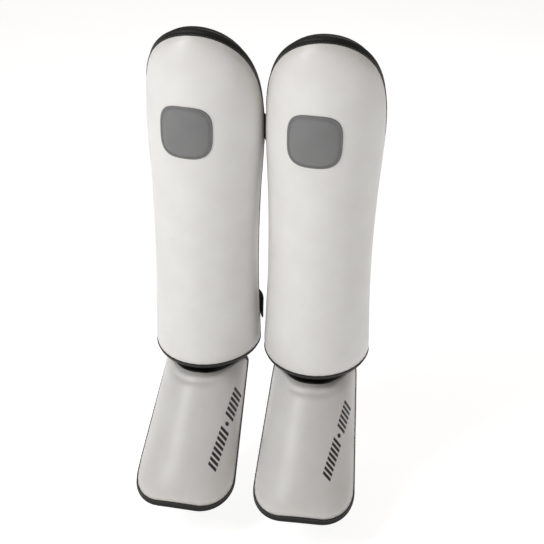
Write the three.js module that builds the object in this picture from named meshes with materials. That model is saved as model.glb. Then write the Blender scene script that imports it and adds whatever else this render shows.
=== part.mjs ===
// A pair of shin-and-instep guards, stood up as they sit on two legs.
// Each guard is a padded shell round the front of the shin, hinged at the ankle to a padded
// flap over the top of the foot.  Units are millimetres; +Z runs up the shins, the toes point
// to -Y, and the origin lies midway between the two ankles.
import * as THREE from 'three';
import { mergeVertices } from 'three/addons/utils/BufferGeometryUtils.js';

// Driving dimensions, shared by both guards.
const PAIR_HALF_SPACING = 67;
const TOE_OUT_DEG = 2;

// Shin pad: an arched shell, widest below the knee, with a domed top.
const SHIN_HEIGHT = 395;
const DOME_HEIGHT = 180;
const SHIN_HALF_WIDTHS = [67.5, 64, 66, 73, 79];
const SHIN_DEPTH_ANKLE = 90;
const SHIN_DEPTH_KNEE = 81.5;
const WRAP_ANKLE_DEG = 90;
const WRAP_KNEE_DEG = 85;
const SHIN_CORNER_RADIUS = 6;
const SHIN_FRONT_WALL = 26;
const SHIN_SIDE_WALL = 14;
const SHIN_CROWN_BAND = 42;
const SHIN_HEM_BAND = 16;
const SHIN_HEM_FULLNESS = 0.8;

// Instep pad: a curved flap from the ankle to the toes, with an ear up each side of the ankle.
const INSTEP_SLOPE_DEG = 47;
const INSTEP_TOP_Y = -76;
const INSTEP_TOP_Z = -12.5;
const INSTEP_LENGTH = 161;
const INSTEP_HALF_WIDTH_ANKLE = 56;
const INSTEP_HALF_WIDTH_TOE = 65;
const INSTEP_ARCH_ANKLE = 48;
const INSTEP_ARCH_TOE = 30;
const INSTEP_CENTRE_WALL = 14;
const INSTEP_SIDE_WALL = 9;
const INSTEP_CROWN_BAND = 26;
const INSTEP_ROUNDNESS = 0.85;
const INSTEP_SIDE_TILT = 2;
const EAR_RISE = 38;
const EAR_SHARPNESS = 2.5;
const EAR_RADIUS = 10;
const TOE_RADIUS = 40;

// Layers, counted from the leg side outwards.
const EDGE_THINNING = 0.42;
const LAYER_GAP = 0.3;
const LINING_THICKNESS = 1.2;
const COVER_THICKNESS = 1.3;
const SOFT_FOAM_SHARE = 0.38;
const BINDING_WIDTH = 3;
const BINDING_GAP = 0.7;
const BINDING_LIP = 0.6;

// Sewn-on patch on the front of the shin pad.
const PATCH_HEIGHT_Z = 289;
const PATCH_HALF_WIDTH = 31;
const PATCH_HALF_HEIGHT = 29;
const PATCH_SIDE_SHIFT = -8;
const PATCH_LIFT = 0.7;
const PATCH_THICKNESS = 1.2;
const PATCH_CORNER_SOFTNESS = 0.62;

// Leg straps, closed across the back with hook and loop.
const STRAP_WIDTH = 30;
const STRAP_THICKNESS = 2;
const TAB_THICKNESS = 1.6;
const HOOK_THICKNESS = 1.2;
const HOOK_MARGIN = 1.5;
const UPPER_STRAP_Z = 266;
const LOWER_STRAP_Z = 28;
const STRAP_HALF_DEPTH = 50;
const STRAP_CENTRE_BACK = 8;
const STRAP_BULGE = 1;
const STRAP_ROOT_CLEARANCE = 2.6;
const TAB_END_DEG = 48;
const HOOK_START_DEG = 9;
const HOOK_END_DEG = 43;
const STRAP_END_DEG = 6;
const STRAP_CLOSING_DEG = 60;
const STRAP_SETTLED_DEG = 135;

// Ankle tongue and foot strap.
const TONGUE_HALF_WIDTH = 22;
const TONGUE_THICKNESS = 1.6;
const TONGUE_GAP = 1.5;
const TONGUE_REACH = 24;
const FOOT_STRAP_START = 58;
const FOOT_STRAP_WIDTH = 38;
const FOOT_STRAP_THICKNESS = 1.8;
const FOOT_STRAP_DEPTH = 48;
const FOOT_STRAP_CLEARANCE = 3.4;
const FOOT_STRAP_INSET = 1;

const RAD = Math.PI / 180;
const lerp = THREE.MathUtils.lerp;
const clamp = THREE.MathUtils.clamp;

// Catmull-Rom value through equally spaced stations, for t from 0 to 1.
function stationValue(stations, t) {
  const last = stations.length - 1;
  const place = clamp(t, 0, 1) * last;
  const i = Math.min(Math.floor(place), last - 1);
  const f = place - i;
  const p1 = stations[i];
  const p2 = stations[i + 1];
  const p0 = stations[i - 1] ?? 2 * p1 - p2;
  const p3 = stations[i + 2] ?? 2 * p2 - p1;
  const slopeIn = (p2 - p0) / 2;
  const slopeOut = (p3 - p1) / 2;
  const cubic = 2 * (p1 - p2) + slopeIn + slopeOut;
  const square = 3 * (p2 - p1) - 2 * slopeIn - slopeOut;
  return ((cubic * f + square) * f + slopeIn) * f + p1;
}

// How far a quarter-round edge has risen, 0 at the edge and 1 past its band.
function roundedEdge(distance, band) {
  const inward = clamp(distance / band, 0, 1);
  return Math.sqrt(1 - (1 - inward) ** 2);
}

// How much a corner arc of the given radius cuts off, at a distance inside the corner's end.
function cornerCut(distance, radius) {
  const inside = clamp(distance, 0, radius);
  return radius - Math.sqrt(radius ** 2 - (radius - inside) ** 2);
}

// A point through the wall: level 0 is the leg side, 1 the outside, offset is in millimetres.
function throughWall(inner, outer, thinning, level, offset) {
  const direction = outer.clone().sub(inner);
  const wall = direction.length() * thinning;
  return inner.clone().addScaledVector(direction.normalize(), wall * level + offset);
}

function wrapAngle(z, halfWidth) {
  const domeBase = SHIN_HEIGHT - DOME_HEIGHT;
  const straight = lerp(WRAP_ANKLE_DEG, WRAP_KNEE_DEG, Math.min(z / domeBase, 1)) * RAD;
  const rise = clamp((z - domeBase) / DOME_HEIGHT, 0, 1);
  const domed = straight * Math.sqrt(1 - rise ** 2);
  return domed - cornerCut(z, SHIN_CORNER_RADIUS) / halfWidth;
}

// Shin wall at an angle round from the front centre line and a height.
function shinWall(angle, z, level, offset) {
  const halfWidth = stationValue(SHIN_HALF_WIDTHS, z / SHIN_HEIGHT);
  const depth = lerp(SHIN_DEPTH_ANKLE, SHIN_DEPTH_KNEE, z / SHIN_HEIGHT);
  const reach = wrapAngle(z, halfWidth);
  const outer = new THREE.Vector3(halfWidth * Math.sin(angle), -depth * Math.cos(angle), z);
  const inner = new THREE.Vector3(
    (halfWidth - SHIN_SIDE_WALL) * Math.sin(angle),
    -(depth - SHIN_FRONT_WALL) * Math.cos(angle),
    z,
  );
  const crown = roundedEdge((reach - Math.abs(angle)) * halfWidth, SHIN_CROWN_BAND)
    * roundedEdge(SHIN_HEIGHT - z, SHIN_CROWN_BAND)
    * lerp(SHIN_HEM_FULLNESS, 1, roundedEdge(z, SHIN_HEM_BAND));
  return throughWall(inner, outer, 1 - EDGE_THINNING * (1 - crown), level, offset);
}

function shinPoint(u, v, level, offset) {
  const z = v * SHIN_HEIGHT;
  const reach = wrapAngle(z, stationValue(SHIN_HALF_WIDTHS, v));
  return shinWall(u * reach, z, level, offset);
}

// A point over the foot: across, down the slope from the ankle, and up from the slope.
function overFoot(x, along, height) {
  const slope = INSTEP_SLOPE_DEG * RAD;
  return new THREE.Vector3(
    x,
    INSTEP_TOP_Y - along * Math.cos(slope) - height * Math.sin(slope),
    INSTEP_TOP_Z - along * Math.sin(slope) + height * Math.cos(slope),
  );
}

// Instep wall at a share of the half width and a distance along from the ankle edge.
function instepWall(across, along, edgeDistance, level, offset) {
  const t = along / INSTEP_LENGTH;
  const halfWidth = lerp(INSTEP_HALF_WIDTH_ANKLE, INSTEP_HALF_WIDTH_TOE, t);
  const arch = lerp(INSTEP_ARCH_ANKLE, INSTEP_ARCH_TOE, t);
  const drop = (1 - Math.sqrt(1 - INSTEP_ROUNDNESS * across ** 2))
    / (1 - Math.sqrt(1 - INSTEP_ROUNDNESS));
  const outer = overFoot(across * halfWidth, along, -arch * drop);
  const innerArch = arch + INSTEP_SIDE_TILT - INSTEP_CENTRE_WALL;
  const inner = overFoot(
    across * (halfWidth - INSTEP_SIDE_WALL),
    along,
    -INSTEP_CENTRE_WALL - innerArch * drop,
  );
  const crown = roundedEdge(edgeDistance, INSTEP_CROWN_BAND)
    * roundedEdge((1 - Math.abs(across)) * halfWidth, INSTEP_CROWN_BAND);
  return throughWall(inner, outer, 1 - EDGE_THINNING * (1 - crown), level, offset);
}

function instepPoint(u, v, level, offset) {
  const side = Math.abs(u);
  const toCorner = (halfWidth) => (1 - side) * halfWidth;
  const top = -EAR_RISE * side ** EAR_SHARPNESS + cornerCut(toCorner(INSTEP_HALF_WIDTH_ANKLE), EAR_RADIUS);
  const toe = INSTEP_LENGTH - cornerCut(toCorner(INSTEP_HALF_WIDTH_TOE), TOE_RADIUS);
  const along = lerp(top, toe, v);
  return instepWall(u, along, Math.min(along - top, toe - along), level, offset);
}

// Sample positions: the bottom corner arc, the straight sides, then the dome.
function shinRows() {
  const rows = [];
  for (let i = 0; i <= 3; i += 1) rows.push(SHIN_CORNER_RADIUS * (1 - Math.cos(i * 30 * RAD)));
  const domeBase = SHIN_HEIGHT - DOME_HEIGHT;
  for (let i = 1; i <= 5; i += 1) rows.push(lerp(SHIN_CORNER_RADIUS, domeBase, i / 5));
  for (let i = 1; i <= 6; i += 1) rows.push(domeBase + DOME_HEIGHT * Math.sin(i * 15 * RAD));
  return rows.map((z) => z / SHIN_HEIGHT);
}

function evenSteps(count) {
  return Array.from({ length: count + 1 }, (_, i) => i / count);
}

const shinPad = {
  point: shinPoint,
  columns: evenSteps(10).map((t) => 2 * t - 1),
  rows: shinRows(),
};

const instepPad = {
  point: instepPoint,
  columns: evenSteps(12).map((t) => Math.sin((t - 0.5) * Math.PI)),
  rows: evenSteps(8).map((t) => (1 - Math.cos(t * Math.PI)) / 2),
};

// A closed geometry from points and quads, turned so that its faces point out.
function closedGeometry(points, quads) {
  const positions = new Float32Array(points.length * 3);
  points.forEach((point, i) => point.toArray(positions, i * 3));
  const geometry = new THREE.BufferGeometry();
  geometry.setAttribute('position', new THREE.BufferAttribute(positions, 3));
  const span = (a, b) => points[a].distanceTo(points[b]);
  geometry.setIndex(quads.flatMap(([a, b, c, d]) => (
    span(a, c) <= span(b, d) ? [a, b, c, a, c, d] : [a, b, d, b, c, d]
  )));
  const merged = mergeVertices(geometry, 1e-3);
  const place = (i) => new THREE.Vector3().fromBufferAttribute(merged.attributes.position, i);
  const faces = [];
  let volume = 0;
  for (let i = 0; i < merged.index.count; i += 3) {
    const face = [0, 1, 2].map((k) => merged.index.getX(i + k));
    if (new Set(face).size < 3) continue;
    const [a, b, c] = face.map(place);
    volume += a.dot(b.cross(c));
    faces.push(face);
  }
  merged.setIndex(faces.flatMap((face) => (volume < 0 ? face.reverse() : face)));
  merged.computeVertexNormals();
  return merged;
}

// A layer of a pad between two levels, each given as [level, offset]. A pad that wraps has no sides.
function layer(pad, low, high) {
  const { columns, rows } = pad;
  const points = [low, high].flatMap(([level, offset]) => rows.flatMap(
    (v) => columns.map((u) => pad.point(u, v, level, offset)),
  ));
  const at = (sheet, row, column) => (sheet * rows.length + row) * columns.length + column;
  const lastRow = rows.length - 1;
  const lastColumn = columns.length - 1;
  const quads = [];
  for (let r = 0; r < lastRow; r += 1) {
    for (let c = 0; c < lastColumn; c += 1) {
      quads.push([at(1, r, c), at(1, r, c + 1), at(1, r + 1, c + 1), at(1, r + 1, c)]);
      quads.push([at(0, r, c), at(0, r + 1, c), at(0, r + 1, c + 1), at(0, r, c + 1)]);
    }
  }
  for (let c = 0; c < lastColumn; c += 1) {
    quads.push([at(0, 0, c), at(0, 0, c + 1), at(1, 0, c + 1), at(1, 0, c)]);
    quads.push([at(0, lastRow, c + 1), at(0, lastRow, c), at(1, lastRow, c), at(1, lastRow, c + 1)]);
  }
  const sides = pad.wraps ? [] : [0, lastColumn];
  for (const side of sides) {
    for (let r = 0; r < lastRow; r += 1) {
      const wall = [at(0, r + 1, side), at(0, r, side), at(1, r, side), at(1, r + 1, side)];
      quads.push(side === 0 ? wall : wall.reverse());
    }
  }
  return closedGeometry(points, quads);
}

// The outline of a pad as [u, v] pairs, once round.
function outline(pad) {
  const { columns, rows } = pad;
  const loop = [
    ...columns.map((u) => [u, rows[0]]),
    ...rows.slice(1).map((v) => [columns.at(-1), v]),
    ...columns.toReversed().slice(1).map((u) => [u, rows.at(-1)]),
    ...rows.toReversed().slice(1, -1).map((v) => [columns[0], v]),
  ];
  const apart = (a, b) => pad.point(...a, 0.5, 0).distanceTo(pad.point(...b, 0.5, 0)) > 0.5;
  return loop.filter((pair, i) => apart(pair, loop[(i + 1) % loop.length]));
}

// A rectangular section swept round a closed loop of frames.
function sweptRing(frames) {
  const points = frames.flat();
  const corners = frames[0].length;
  const quads = [];
  frames.forEach((_, i) => {
    const next = (i + 1) % frames.length;
    for (let k = 0; k < corners; k += 1) {
      const turn = (k + 1) % corners;
      quads.push([i * corners + k, next * corners + k, next * corners + turn, i * corners + turn]);
    }
  });
  return closedGeometry(points, quads);
}

// Edge binding: a band round the rim of a pad, from its leg side to its outside.
function binding(pad) {
  const loop = outline(pad);
  const middle = loop.map(([u, v]) => pad.point(u, v, 0.5, 0));
  const centre = pad.point(0, 0.5, 0.5, 0);
  const frames = loop.map(([u, v], i) => {
    const before = middle.at(i - 1);
    const after = middle[(i + 1) % middle.length];
    const inner = pad.point(u, v, 0, -BINDING_LIP);
    const outer = pad.point(u, v, 1, BINDING_LIP);
    const wall = outer.clone().sub(inner).normalize();
    const away = after.clone().sub(before).cross(wall).normalize();
    if (away.dot(middle[i].clone().sub(centre)) < 0) away.negate();
    const near = BINDING_GAP;
    const far = BINDING_GAP + BINDING_WIDTH;
    return [
      inner.clone().addScaledVector(away, near),
      inner.clone().addScaledVector(away, far),
      outer.clone().addScaledVector(away, far),
      outer.clone().addScaledVector(away, near),
    ];
  });
  return sweptRing(frames);
}

// A patch with soft corners, lying on the front of the shin pad.
function patch() {
  const rings = [0, 0.5, 1];
  const around = evenSteps(24);
  const soften = (value) => Math.sign(value) * Math.abs(value) ** PATCH_CORNER_SOFTNESS;
  const pad = {
    columns: around,
    rows: rings,
    wraps: true,
    point: (turn, ring, level, offset) => {
      const angle = turn * 2 * Math.PI;
      const x = PATCH_SIDE_SHIFT + ring * PATCH_HALF_WIDTH * soften(Math.cos(angle));
      const z = PATCH_HEIGHT_Z + ring * PATCH_HALF_HEIGHT * soften(Math.sin(angle));
      const halfWidth = stationValue(SHIN_HALF_WIDTHS, z / SHIN_HEIGHT);
      return shinWall(x / halfWidth, z, level, offset);
    },
  };
  return layer(pad, [1, PATCH_LIFT], [1, PATCH_LIFT + PATCH_THICKNESS]);
}

// Plan position on the leg loop behind the pad: 0 degrees is the closing side.
function strapPlan(z, degrees, offset) {
  const rim = shinPoint(1, z / SHIN_HEIGHT, 0.5, 0);
  const rootY = rim.y + BINDING_GAP + BINDING_WIDTH + STRAP_ROOT_CLEARANCE;
  const halfWidth = rim.x + STRAP_BULGE;
  const angle = degrees * RAD;
  const normal = new THREE.Vector2(Math.cos(angle) / halfWidth, Math.sin(angle) / STRAP_HALF_DEPTH);
  normal.normalize();
  return new THREE.Vector3(
    halfWidth * Math.cos(angle) + normal.x * offset,
    rootY + STRAP_CENTRE_BACK + STRAP_HALF_DEPTH * Math.sin(angle) + normal.y * offset,
    z,
  );
}

// An upright band along the leg loop, with its middle line offset from the loop.
function legBand(z, startDeg, endDeg, steps, thickness, width, offsetAt) {
  const frames = evenSteps(steps).map((t) => {
    const degrees = lerp(startDeg, endDeg, t);
    const middle = offsetAt(degrees);
    const inside = strapPlan(z, degrees, middle - thickness / 2);
    const outside = strapPlan(z, degrees, middle + thickness / 2);
    return [inside, outside].flatMap((point) => [-1, 1].map(
      (up) => point.clone().setZ(z + up * width / 2),
    ));
  });
  return bandGeometry(frames);
}

// A band with flat ends from frames of [inside low, inside high, outside low, outside high].
function bandGeometry(frames) {
  const ring = [0, 1, 3, 2];
  const points = frames.flatMap((frame) => ring.map((k) => frame[k]));
  const quads = [[3, 2, 1, 0]];
  for (let i = 0; i < frames.length - 1; i += 1) {
    for (let k = 0; k < 4; k += 1) {
      const turn = (k + 1) % 4;
      quads.push([i * 4 + k, i * 4 + turn, i * 4 + 4 + turn, i * 4 + 4 + k]);
    }
  }
  const end = (frames.length - 1) * 4;
  quads.push([end, end + 1, end + 2, end + 3]);
  return closedGeometry(points, quads);
}

const HOOK_OFFSET = (TAB_THICKNESS + HOOK_THICKNESS) / 2 + LAYER_GAP;
const STRAP_OFFSET = HOOK_OFFSET + (HOOK_THICKNESS + STRAP_THICKNESS) / 2 + LAYER_GAP;
const ROOT_DEG = Math.asin(STRAP_CENTRE_BACK / STRAP_HALF_DEPTH) / RAD;

// The strap lies over the loop tab on the closing side and meets the pad's rim at its root.
function strapOffset(degrees) {
  const closed = 1 - THREE.MathUtils.smoothstep(degrees, STRAP_CLOSING_DEG, STRAP_SETTLED_DEG);
  return STRAP_OFFSET * closed;
}

// Ankle tongue: a flexible strip sewn to both linings, looped clear of the two bindings.
function ankleTongue() {
  const lift = -(TONGUE_GAP + TONGUE_THICKNESS / 2);
  const slope = INSTEP_SLOPE_DEG * RAD;
  const upSlope = new THREE.Vector3(0, Math.cos(slope), Math.sin(slope));
  const route = (u) => {
    const x = u * TONGUE_HALF_WIDTH;
    const angle = x / (SHIN_HALF_WIDTHS[0] - SHIN_SIDE_WALL);
    const across = x / (INSTEP_HALF_WIDTH_ANKLE - INSTEP_SIDE_WALL);
    const top = instepPoint(across, 0, 0, lift - BINDING_LIP - LAYER_GAP * 2);
    return new THREE.CatmullRomCurve3([
      shinWall(angle, TONGUE_REACH, 0, lift),
      shinWall(angle, 2, 0, lift),
      top.clone().addScaledVector(upSlope, BINDING_WIDTH),
      top.clone().addScaledVector(upSlope, -BINDING_WIDTH * 2),
      top.clone().addScaledVector(upSlope, -TONGUE_REACH),
    ]);
  };
  const pad = {
    columns: evenSteps(6).map((t) => 2 * t - 1),
    rows: evenSteps(10),
    point: (u, v, level) => {
      const curve = route(u);
      const normal = curve.getTangent(v).cross(new THREE.Vector3(1, 0, 0)).normalize();
      return curve.getPoint(v).addScaledVector(normal, (level - 0.5) * TONGUE_THICKNESS);
    },
  };
  return layer(pad, [0, 0], [1, 0]);
}

// Foot strap: an elastic loop under the sole, between the side edges of the instep pad.
function footStrap() {
  const slope = INSTEP_SLOPE_DEG * RAD;
  const middle = FOOT_STRAP_START + FOOT_STRAP_WIDTH / 2;
  const rim = instepWall(1, middle, middle, 0.5, 0);
  const widening = (INSTEP_HALF_WIDTH_TOE - INSTEP_HALF_WIDTH_ANKLE) / INSTEP_LENGTH;
  const rimHeight = (rim.z - INSTEP_TOP_Z + middle * Math.sin(slope)) / Math.cos(slope);
  const rootHeight = rimHeight - BINDING_GAP - BINDING_WIDTH - FOOT_STRAP_CLEARANCE;
  const frames = evenSteps(14).map((t) => {
    const angle = t * Math.PI;
    return [-1, 1].flatMap((out) => [-1, 1].map((end) => {
      const fromMiddle = end * FOOT_STRAP_WIDTH / 2;
      const outward = out * FOOT_STRAP_THICKNESS / 2;
      const halfWidth = rim.x - FOOT_STRAP_INSET + fromMiddle * widening + outward;
      const depth = FOOT_STRAP_DEPTH + outward;
      return overFoot(
        halfWidth * Math.cos(angle),
        middle + fromMiddle,
        rootHeight - depth * Math.sin(angle),
      );
    }));
  });
  return bandGeometry(frames);
}

const FINISHES = {
  cover: { color: 0xe6e5e1, roughness: 0.38, metalness: 0 },
  foam: { color: 0x55585c, roughness: 0.95, metalness: 0 },
  softFoam: { color: 0x8a8d90, roughness: 0.95, metalness: 0 },
  lining: { color: 0x1f1f20, roughness: 0.85, metalness: 0 },
  binding: { color: 0x262625, roughness: 0.6, metalness: 0 },
  patch: { color: 0x7b7c7c, roughness: 0.55, metalness: 0 },
  webbing: { color: 0x1c1c1d, roughness: 0.8, metalness: 0 },
  hook: { color: 0x151516, roughness: 0.9, metalness: 0 },
  elastic: { color: 0x222223, roughness: 0.75, metalness: 0 },
};

function piece(name, geometry, finish) {
  const mesh = new THREE.Mesh(geometry, new THREE.MeshStandardMaterial(FINISHES[finish]));
  mesh.name = name;
  return mesh;
}

// The layers of one pad, from the lining out to the cover, and the binding round its rim.
function padPieces(prefix, pad, foams) {
  const liningTop = LINING_THICKNESS + LAYER_GAP;
  const pieces = [
    piece(`${prefix}_lining`, layer(pad, [0, 0], [0, LINING_THICKNESS]), 'lining'),
    piece(`${prefix}_cover`, layer(pad, [1, -COVER_THICKNESS], [1, 0]), 'cover'),
    piece(`${prefix}_binding`, binding(pad), 'binding'),
  ];
  foams.forEach(({ name, from, to, finish }) => {
    const low = from === 0 ? [0, liningTop] : [from, LAYER_GAP / 2];
    const high = to === 1 ? [1, -COVER_THICKNESS - LAYER_GAP] : [to, -LAYER_GAP / 2];
    pieces.push(piece(`${prefix}_${name}`, layer(pad, low, high), finish));
  });
  return pieces;
}

// One leg strap with its hook patch, and the loop tab that it closes on.
function strapPieces(prefix, z) {
  const turned = 180 + ROOT_DEG;
  const strap = legBand(z, STRAP_END_DEG, turned, 22, STRAP_THICKNESS, STRAP_WIDTH, strapOffset);
  const hookWidth = STRAP_WIDTH - 2 * HOOK_MARGIN;
  const hook = legBand(z, HOOK_START_DEG, HOOK_END_DEG, 5, HOOK_THICKNESS, hookWidth, () => HOOK_OFFSET);
  const tab = legBand(z, -ROOT_DEG, TAB_END_DEG, 7, TAB_THICKNESS, STRAP_WIDTH, () => 0);
  return [
    piece(`${prefix}_strap`, strap, 'webbing'),
    piece(`${prefix}_strap_hook`, hook, 'hook'),
    piece(`${prefix}_strap_loop_tab`, tab, 'elastic'),
  ];
}

// Mirrors straps so that each guard's straps are sewn to the outer side of its leg.
function mirrorAcross(mesh) {
  const { position } = mesh.geometry.attributes;
  for (let i = 0; i < position.count; i += 1) position.setX(i, -position.getX(i));
  const { index } = mesh.geometry;
  for (let i = 0; i < index.count; i += 3) {
    const first = index.getX(i);
    index.setX(i, index.getX(i + 2));
    index.setX(i + 2, first);
  }
  mesh.geometry.computeVertexNormals();
  return mesh;
}

function guard(name, side) {
  const group = new THREE.Group();
  const shinFoams = [
    { name: 'soft_foam', from: 0, to: SOFT_FOAM_SHARE, finish: 'softFoam' },
    { name: 'hard_foam', from: SOFT_FOAM_SHARE, to: 1, finish: 'foam' },
  ];
  const instepFoams = [{ name: 'foam', from: 0, to: 1, finish: 'foam' }];
  const straps = [
    ...strapPieces(`${name}_upper`, UPPER_STRAP_Z),
    ...strapPieces(`${name}_lower`, LOWER_STRAP_Z),
  ];
  group.add(
    ...padPieces(`${name}_shin`, shinPad, shinFoams),
    piece(`${name}_shin_patch`, patch(), 'patch'),
    ...(side > 0 ? straps.map(mirrorAcross) : straps),
    piece(`${name}_ankle_tongue`, ankleTongue(), 'elastic'),
    ...padPieces(`${name}_instep`, instepPad, instepFoams),
    piece(`${name}_foot_strap`, footStrap(), 'elastic'),
  );
  group.position.x = side * PAIR_HALF_SPACING;
  group.rotation.z = side * TOE_OUT_DEG * RAD;
  return group;
}

const pair = new THREE.Group();
pair.add(guard('left', -1), guard('right', 1));

export default pair;
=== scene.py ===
"""A pair of padded shin-and-instep guards, white synthetic leather with black edging.

Each guard is a domed shin pad and a flap over the foot.  Both pads are built the same way: a
foam core, a smooth cover outside, a quilted lining on the leg side and a tape bound round the rim.
Shapes are worked out in millimetres in each guard's own frame (x across, -y front, z up), then
placed on the CAD frame in metres.
"""

import math

import bmesh
import bpy
import numpy as np
from mathutils import Matrix, Vector
from mathutils.kdtree import KDTree


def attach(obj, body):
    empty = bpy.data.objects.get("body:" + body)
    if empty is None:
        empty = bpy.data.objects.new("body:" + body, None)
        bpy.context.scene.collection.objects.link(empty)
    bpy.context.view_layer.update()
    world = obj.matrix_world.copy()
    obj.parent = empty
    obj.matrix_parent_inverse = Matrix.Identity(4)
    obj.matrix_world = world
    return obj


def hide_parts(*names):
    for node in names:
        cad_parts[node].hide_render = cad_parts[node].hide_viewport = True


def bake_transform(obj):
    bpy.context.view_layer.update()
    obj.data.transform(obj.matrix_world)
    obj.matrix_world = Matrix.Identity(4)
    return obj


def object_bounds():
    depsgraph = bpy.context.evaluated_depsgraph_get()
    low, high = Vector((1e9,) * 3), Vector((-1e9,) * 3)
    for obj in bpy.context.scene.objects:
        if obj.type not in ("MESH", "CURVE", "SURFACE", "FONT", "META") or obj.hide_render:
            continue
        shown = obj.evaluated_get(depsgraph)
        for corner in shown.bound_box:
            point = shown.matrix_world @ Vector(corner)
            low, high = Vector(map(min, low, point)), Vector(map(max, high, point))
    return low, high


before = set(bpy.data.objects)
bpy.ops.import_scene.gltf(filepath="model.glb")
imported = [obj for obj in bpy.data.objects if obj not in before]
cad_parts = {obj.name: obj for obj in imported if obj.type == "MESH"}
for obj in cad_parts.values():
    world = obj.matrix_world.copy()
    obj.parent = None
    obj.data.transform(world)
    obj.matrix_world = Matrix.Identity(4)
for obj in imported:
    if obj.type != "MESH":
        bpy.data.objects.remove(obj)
cad_low, cad_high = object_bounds()

MM = 0.001

# ---------------------------------------------------------------- dimensions of the CAD frame
PAIR_HALF_SPACING = 67
TOE_OUT = math.radians(2)

SHIN_HEIGHT = 395
DOME_HEIGHT = 180
DOME_BASE = SHIN_HEIGHT - DOME_HEIGHT
SHIN_HALF_WIDTHS = np.array([67.5, 64, 66, 73, 79])
SHIN_DEPTH_ANKLE = 90
SHIN_DEPTH_KNEE = 81.5
WRAP_ANKLE = math.radians(90)
WRAP_KNEE = math.radians(85)
SHIN_CORNER_RADIUS = 6
SHIN_FRONT_WALL = 26
SHIN_SIDE_WALL = 14
SHIN_CROWN_BAND = 42
SHIN_HEM_BAND = 16
SHIN_HEM_FULLNESS = 0.8

INSTEP_SLOPE = math.radians(47)
INSTEP_TOP_Y = -76
INSTEP_TOP_Z = -12.5
INSTEP_LENGTH = 161
INSTEP_HALF_WIDTH_ANKLE = 56
INSTEP_HALF_WIDTH_TOE = 65
INSTEP_ARCH_ANKLE = 48
INSTEP_ARCH_TOE = 30
INSTEP_CENTRE_WALL = 14
INSTEP_SIDE_WALL = 9
INSTEP_CROWN_BAND = 26
INSTEP_ROUNDNESS = 0.85
INSTEP_SIDE_TILT = 2
EAR_RISE = 38
EAR_SHARPNESS = 2.5
EAR_RADIUS = 10
TOE_RADIUS = 40

EDGE_THINNING = 0.42
LAYER_GAP = 0.3
LINING_THICKNESS = 1.2
COVER_THICKNESS = 1.3
SOFT_FOAM_SHARE = 0.38
BINDING_WIDTH = 3
BINDING_GAP = 0.7
BINDING_LIP = 0.6

PATCH_Z = 289
PATCH_HALF_WIDTH = 31
PATCH_HALF_HEIGHT = 29
PATCH_SHIFT = -8
PATCH_SOFTNESS = 0.62

STRAP_WIDTH = 30
STRAP_THICKNESS = 2
TAB_THICKNESS = 1.6
HOOK_THICKNESS = 1.2
HOOK_MARGIN = 1.5
UPPER_STRAP_Z = 266
LOWER_STRAP_Z = 28
STRAP_HALF_DEPTH = 50
STRAP_CENTRE_BACK = 8
STRAP_BULGE = 1
STRAP_ROOT_CLEARANCE = 2.6
STRAP_ROOT_DEG = math.degrees(math.asin(STRAP_CENTRE_BACK / STRAP_HALF_DEPTH))
TAB_END_DEG = 48
HOOK_START_DEG = 9
HOOK_END_DEG = 43
STRAP_END_DEG = 6
STRAP_CLOSING_DEG = 60
STRAP_SETTLED_DEG = 135

TONGUE_HALF_WIDTH = 22
TONGUE_THICKNESS = 1.6
TONGUE_GAP = 1.5
TONGUE_REACH = 24
FOOT_STRAP_START = 58
FOOT_STRAP_WIDTH = 38
FOOT_STRAP_THICKNESS = 1.8
FOOT_STRAP_DEPTH = 48
FOOT_STRAP_CLEARANCE = 3.4
FOOT_STRAP_INSET = 1


# ---------------------------------------------------------------- small numeric helpers
def unit(vectors):
    return vectors / np.linalg.norm(vectors, axis=-1, keepdims=True)


def stacked(*parts):
    """Arrays put side by side on a new last axis."""
    return np.stack(parts, -1)


def between(low, high, share):
    return low + (high - low) * share


def smoothstep(value, low, high):
    t = np.clip((value - low) / (high - low), 0, 1)
    return t * t * (3 - 2 * t)


def bump_curve(value, centre, width):
    return np.exp(-(((value - centre) / width) ** 2))


def station_value(t):
    """Catmull-Rom half width of the shin pad at a share of its height."""
    last = len(SHIN_HALF_WIDTHS) - 1
    place = np.clip(t, 0, 1) * last
    i = np.minimum(np.floor(place).astype(int), last - 1)
    f = place - i
    padded = np.concatenate([
        [2 * SHIN_HALF_WIDTHS[0] - SHIN_HALF_WIDTHS[1]],
        SHIN_HALF_WIDTHS,
        [2 * SHIN_HALF_WIDTHS[-1] - SHIN_HALF_WIDTHS[-2]],
    ])
    p0, p1, p2, p3 = (padded[i + k] for k in range(4))
    slope_in, slope_out = (p2 - p0) / 2, (p3 - p1) / 2
    cubic = 2 * (p1 - p2) + slope_in + slope_out
    square = 3 * (p2 - p1) - 2 * slope_in - slope_out
    return ((cubic * f + square) * f + slope_in) * f + p1


def rounded_edge(distance, band):
    inward = np.clip(distance / band, 0, 1)
    return np.sqrt(1 - (1 - inward) ** 2)


def corner_cut(distance, radius):
    inside = np.clip(distance, 0, radius)
    return radius - np.sqrt(radius ** 2 - (radius - inside) ** 2)


def through_wall(inner, outer, crown, level, offset):
    """Points at a level through a wall that thins where its crown falls off to the rim."""
    across = outer - inner
    wall = np.linalg.norm(across, axis=-1) * (1 - EDGE_THINNING * (1 - crown))
    return inner + unit(across) * (wall * level + offset)[..., None]


def wrap_angle(z, half_width):
    straight = between(WRAP_ANKLE, WRAP_KNEE, np.clip(z / DOME_BASE, 0, 1))
    rise = np.clip((z - DOME_BASE) / DOME_HEIGHT, 0, 1)
    return straight * np.sqrt(1 - rise ** 2) - corner_cut(z, SHIN_CORNER_RADIUS) / half_width


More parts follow.
